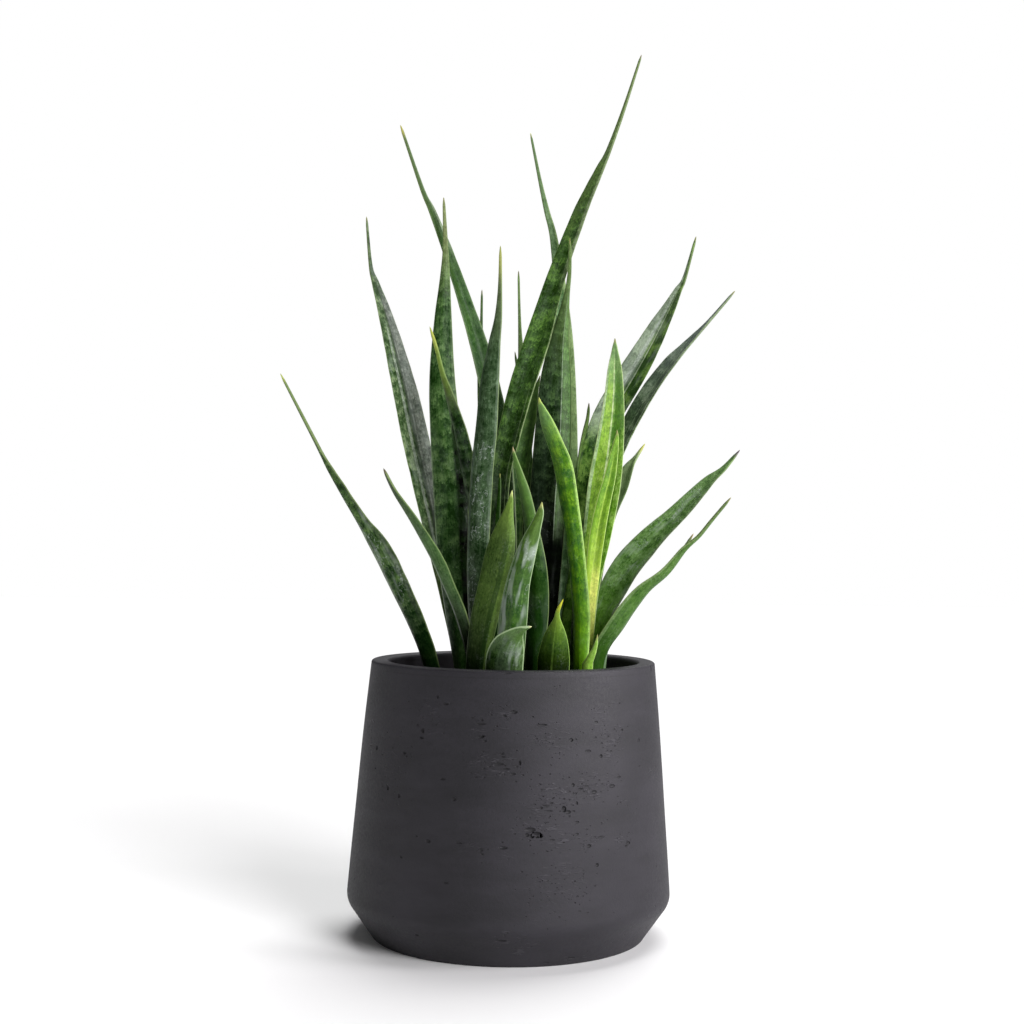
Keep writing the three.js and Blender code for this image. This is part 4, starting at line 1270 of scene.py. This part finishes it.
            (81, -48, 233, 22), (92, -53, 247.5, 18), (105.5, -59, 259.5, 12.5), (117, -67, 275, 7),
            (126, -73, 284, 3.6), (134, -80, 295, 2.6), (145, -92, 310, 1.6),
        ],
        "look": {
            "deep": (44, 76, 22), "mid": (72, 106, 46), "pale": (102, 134, 74), "foot": (44, 72, 6),
            "footTo": 0.5, "footStrength": 0.9, "crown": (112, 138, 88), "tip": (150, 146, 104),
            "bands": 0.12, "mottle": 0.35,
            # The pale grey strip is painted light on the side that faces up
            "strips": [
                (-0.86, 0.24, 0.2, 0.72, 0.75, (132, 144, 134)),
                (0.92, 0.08, 0.2, 0.95, 0.5, (130, 156, 106)),
            ],
        },
    },
    "leaf_right_small": {
        "turn": (-120, -120),
        "route": [
            (63.5, -25, 146, 8), (64, -26, 188, 9), (68, -29, 211, 9), (79, -35, 234, 10),
            (92, -41, 248.5, 8.5), (104, -46, 259, 7), (113, -51, 269, 4.5), (119, -55, 277, 2.6),
            (124, -60, 286, 1.6),
        ],
        "look": {
            "deep": (94, 112, 90), "mid": (116, 136, 112), "pale": (142, 160, 138), "foot": (60, 92, 12),
            "footTo": 0.4, "footStrength": 0.9, "crown": (110, 138, 76), "tip": (170, 150, 110),
            "bands": 0.1, "mottle": 0.3,
        },
    },
    "leaf_back_tall": {
        "turn": (10, 10),
        "route": [
            (36, 32, 146, 12), (37, 32, 190, 13), (38, 32, 236, 15), (39, 34, 295, 18), (38, 38, 356, 20),
            (37, 44, 415, 17), (35, 50, 461, 11), (29.5, 58, 508, 6.2), (24, 62, 531, 4.4),
            (18.5, 67, 556, 2.8), (11, 74, 594, 1.6),
        ],
        "look": {
            "deep": (64, 94, 52), "mid": (96, 130, 84), "pale": (128, 158, 112), "foot": (26, 40, 12),
            "footTo": 0.4, "crown": (104, 130, 88), "crownFrom": 0.66, "crownStrength": 0.8,
            "tip": (186, 190, 128), "bands": 0.5, "mottle": 0.45,
            "strips": [
                (0.78, 0.34, 0.3, 1, 0.75, (150, 176, 116)), (0.46, 0.04, 0.3, 0.9, 0.6, (58, 80, 44)),
            ],
        },
    },
    "leaf_back_left": {
        "turn": (20, 20),
        "route": [
            (-11, 24, 146, 9), (-13, 27, 190, 10), (-16, 31, 265, 11), (-20, 37, 347, 12),
            (-23, 43, 400, 9), (-24, 46, 421, 4.5), (-24.5, 48, 436, 2.4), (-24.5, 52, 469, 1.6),
        ],
        "look": {
            "deep": (38, 60, 24), "mid": (64, 90, 48), "pale": (90, 116, 68), "foot": (6, 12, 2),
            "footTo": 0.8, "footStrength": 0.9, "crown": (62, 94, 46), "tip": (120, 116, 80), "mottle": 0.3,
        },
    },
    "leaf_back_middle": {
        "turn": (-10, -10),
        "route": [
            (8, 33, 146, 9), (10, 35, 190, 10), (10, 40, 280, 12), (9, 46, 345, 12), (7, 53, 402, 7.5),
            (5, 57, 430, 3.6), (4, 61, 452, 2.2), (3, 66, 486, 1.6),
        ],
        "look": {
            "deep": (36, 62, 22), "mid": (56, 88, 40), "pale": (90, 124, 62), "foot": (14, 26, 6),
            "footTo": 0.6, "footStrength": 0.9, "crown": (140, 170, 108), "crownFrom": 0.5,
            "crownStrength": 0.85, "tip": (132, 130, 92), "mottle": 0.3,
        },
    },
    "leaf_back_short": {
        "turn": (5, 5),
        "route": [
            (1, 46, 146, 8), (3, 47, 190, 9), (7, 51, 265, 10), (8.5, 56, 335, 10), (7, 59, 374, 7),
            (4, 62, 402, 3), (0.8, 64, 424, 1.6),
        ],
        "look": {
            "deep": (32, 56, 18), "mid": (50, 82, 30), "pale": (80, 114, 50), "foot": (8, 16, 2),
            "footTo": 0.8, "footStrength": 0.9, "crown": (92, 122, 70), "tip": (120, 120, 84),
            "mottle": 0.3,
        },
    },
    "leaf_back_right": {
        "turn": (55, 50),
        "route": [
            (36, 43, 146, 9), (38, 45, 190, 10), (41, 49, 240, 11), (46, 55, 296, 11), (51, 61, 338, 8.5),
            (54, 65, 359, 6), (57, 68, 374, 3), (58, 70, 386, 1.6),
        ],
        "look": {
            "deep": (60, 94, 28), "mid": (84, 120, 46), "pale": (114, 142, 74), "foot": (36, 60, 16),
            "footTo": 0.5, "crown": (100, 122, 74), "tip": (120, 112, 84), "mottle": 0.35,
        },
    },
}


def routeShares(route):
    places = [Vector(station[:3]) for station in route]
    lengths = [0.0]
    for before, after in zip(places, places[1:]):
        lengths.append(lengths[-1] + (after - before).length)
    return [length / lengths[-1] for length in lengths], lengths[-1]


def turnAt(turn, share):
    place = share * (len(turn) - 1)
    i = min(int(place), len(turn) - 2)
    return math.radians(turn[i] + (turn[i + 1] - turn[i]) * (place - i))


def makeLeaf(name, leaf, tree, skinTree, seed):
    route = leaf["route"]
    shares, length = routeShares(route)
    points = [Vector(station[:3]) * mm for station in route]
    edges = [(i, i + 1) for i in range(len(points) - 1)]
    piece = newPiece(name.replace("leaf_", "blade_"), points, edges)
    widths = piece.data.attributes.new("width", "FLOAT", "POINT")
    turns = piece.data.attributes.new("turn", "FLOAT", "POINT")
    for i, station in enumerate(route):
        widths.data[i].value = station[3]
        turns.data[i].value = turnAt(leaf["turn"], shares[i])
    skin = makeSkin(name, skinTree, {**leafSkin, **leaf["look"]}, seed)
    steps = {"Steps Along": round(length / bladeSteps["spacing"]), "Steps Around": bladeSteps["around"]}
    form = {**blade, **leaf.get("form", {})}
    shapeWith(piece, tree, {**form, **steps, "Seed": float(seed), "Material": skin})
    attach(piece, "root")
    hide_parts(name)
    return len(piece.data.polygons)


def makeLeaves():
    tree = makeLeafTree()
    skinTree = makeSkinTree()
    faces = 0
    for seed, (name, leaf) in enumerate(leaves.items()):
        faces += makeLeaf(name, leaf, tree, skinTree, seed)
    print("leaves grown:", len(leaves), "blades with", faces, "faces")


# Soft studio light: a white room, a wide light overhead, one from the right in front, and a low lamp near
# the plant at its right. from is the way to a light, spread and beam are widths in degrees, the rest metres.
studio = {
    "room": 0.12, "floorHalf": 6, "floorColour": (0.9, 0.9, 0.9, 1), "floorRoughness": 0.8, "floorGloss": 0.1,
    "keyLight": {"from": (0.544, -0.696, 0.47), "spread": 28, "power": 2.5, "colour": (1.0, 0.985, 1.0)},
    "topLight": {"from": (0.16, 0.44, 0.88), "spread": 44, "power": 2.6, "colour": (1.0, 1.0, 1.0)},
    "sheenLight": {
        "at": (0.66, -0.25, 0.38), "aim": (0.07, -0.08, 0.23), "size": 0.3, "beam": 56, "power": 0.5,
        "colour": (1.0, 0.97, 1.0),
    },
}


def addLamp(name, kind, place, towards):
    lamp = bpy.data.lights.new(name, kind)
    lamp.energy = studio[name]["power"]
    lamp.color = studio[name]["colour"]
    holder = bpy.data.objects.new(name, lamp)
    holder.location = place
    holder.rotation_euler = towards.to_track_quat("-Z", "Y").to_euler()
    bpy.context.scene.collection.objects.link(holder)
    return lamp


def makeLights():
    for name in ("keyLight", "topLight"):
        lamp = addLamp(name, "SUN", (0, 0, 2), -Vector(studio[name]["from"]))
        lamp.angle = math.radians(studio[name]["spread"])
    near = studio["sheenLight"]
    lamp = addLamp("sheenLight", "AREA", near["at"], Vector(near["aim"]) - Vector(near["at"]))
    lamp.shape = "DISK"
    lamp.size = near["size"]
    lamp.spread = math.radians(near["beam"])
    print("lights set")


# A dim white world lights the plant, and the camera sees it full white
def makeRoom():
    world = bpy.data.worlds.new("whiteRoom")
    bpy.context.scene.world = world
    world.use_nodes = True
    tree = world.node_tree
    tree.nodes.clear()
    white = {"Color": (1, 1, 1, 1)}
    room = wireFrom(tree, "ShaderNodeBackground", {**white, "Strength": studio["room"]})
    seen = wireFrom(tree, "ShaderNodeBackground", {**white, "Strength": 1.0})
    direct = wireFrom(tree, "ShaderNodeLightPath", output="Is Camera Ray")
    both = wireFrom(tree, "ShaderNodeMixShader", {0: direct, 1: room, 2: seen})
    feed(tree.nodes.new("ShaderNodeOutputWorld").inputs[0], both)
    half = studio["floorHalf"]
    corners = [(-half, -half, 0), (half, -half, 0), (half, half, 0), (-half, half, 0)]
    floor = newPiece("floor", corners, faces=[(0, 1, 2, 3)])
    material, tree, shader = newMaterial("paleFloor")
    feed(shader.inputs["Base Color"], studio["floorColour"])
    feed(shader.inputs["Roughness"], studio["floorRoughness"])
    feed(shader.inputs["Specular IOR Level"], studio["floorGloss"])
    floor.data.materials.append(material)
    bpy.context.scene.view_settings.view_transform = "Standard"
    print("room ready")


makeCamera()
makeLights()
makeRoom()
makePot()
makeMix()
makeLeaves()
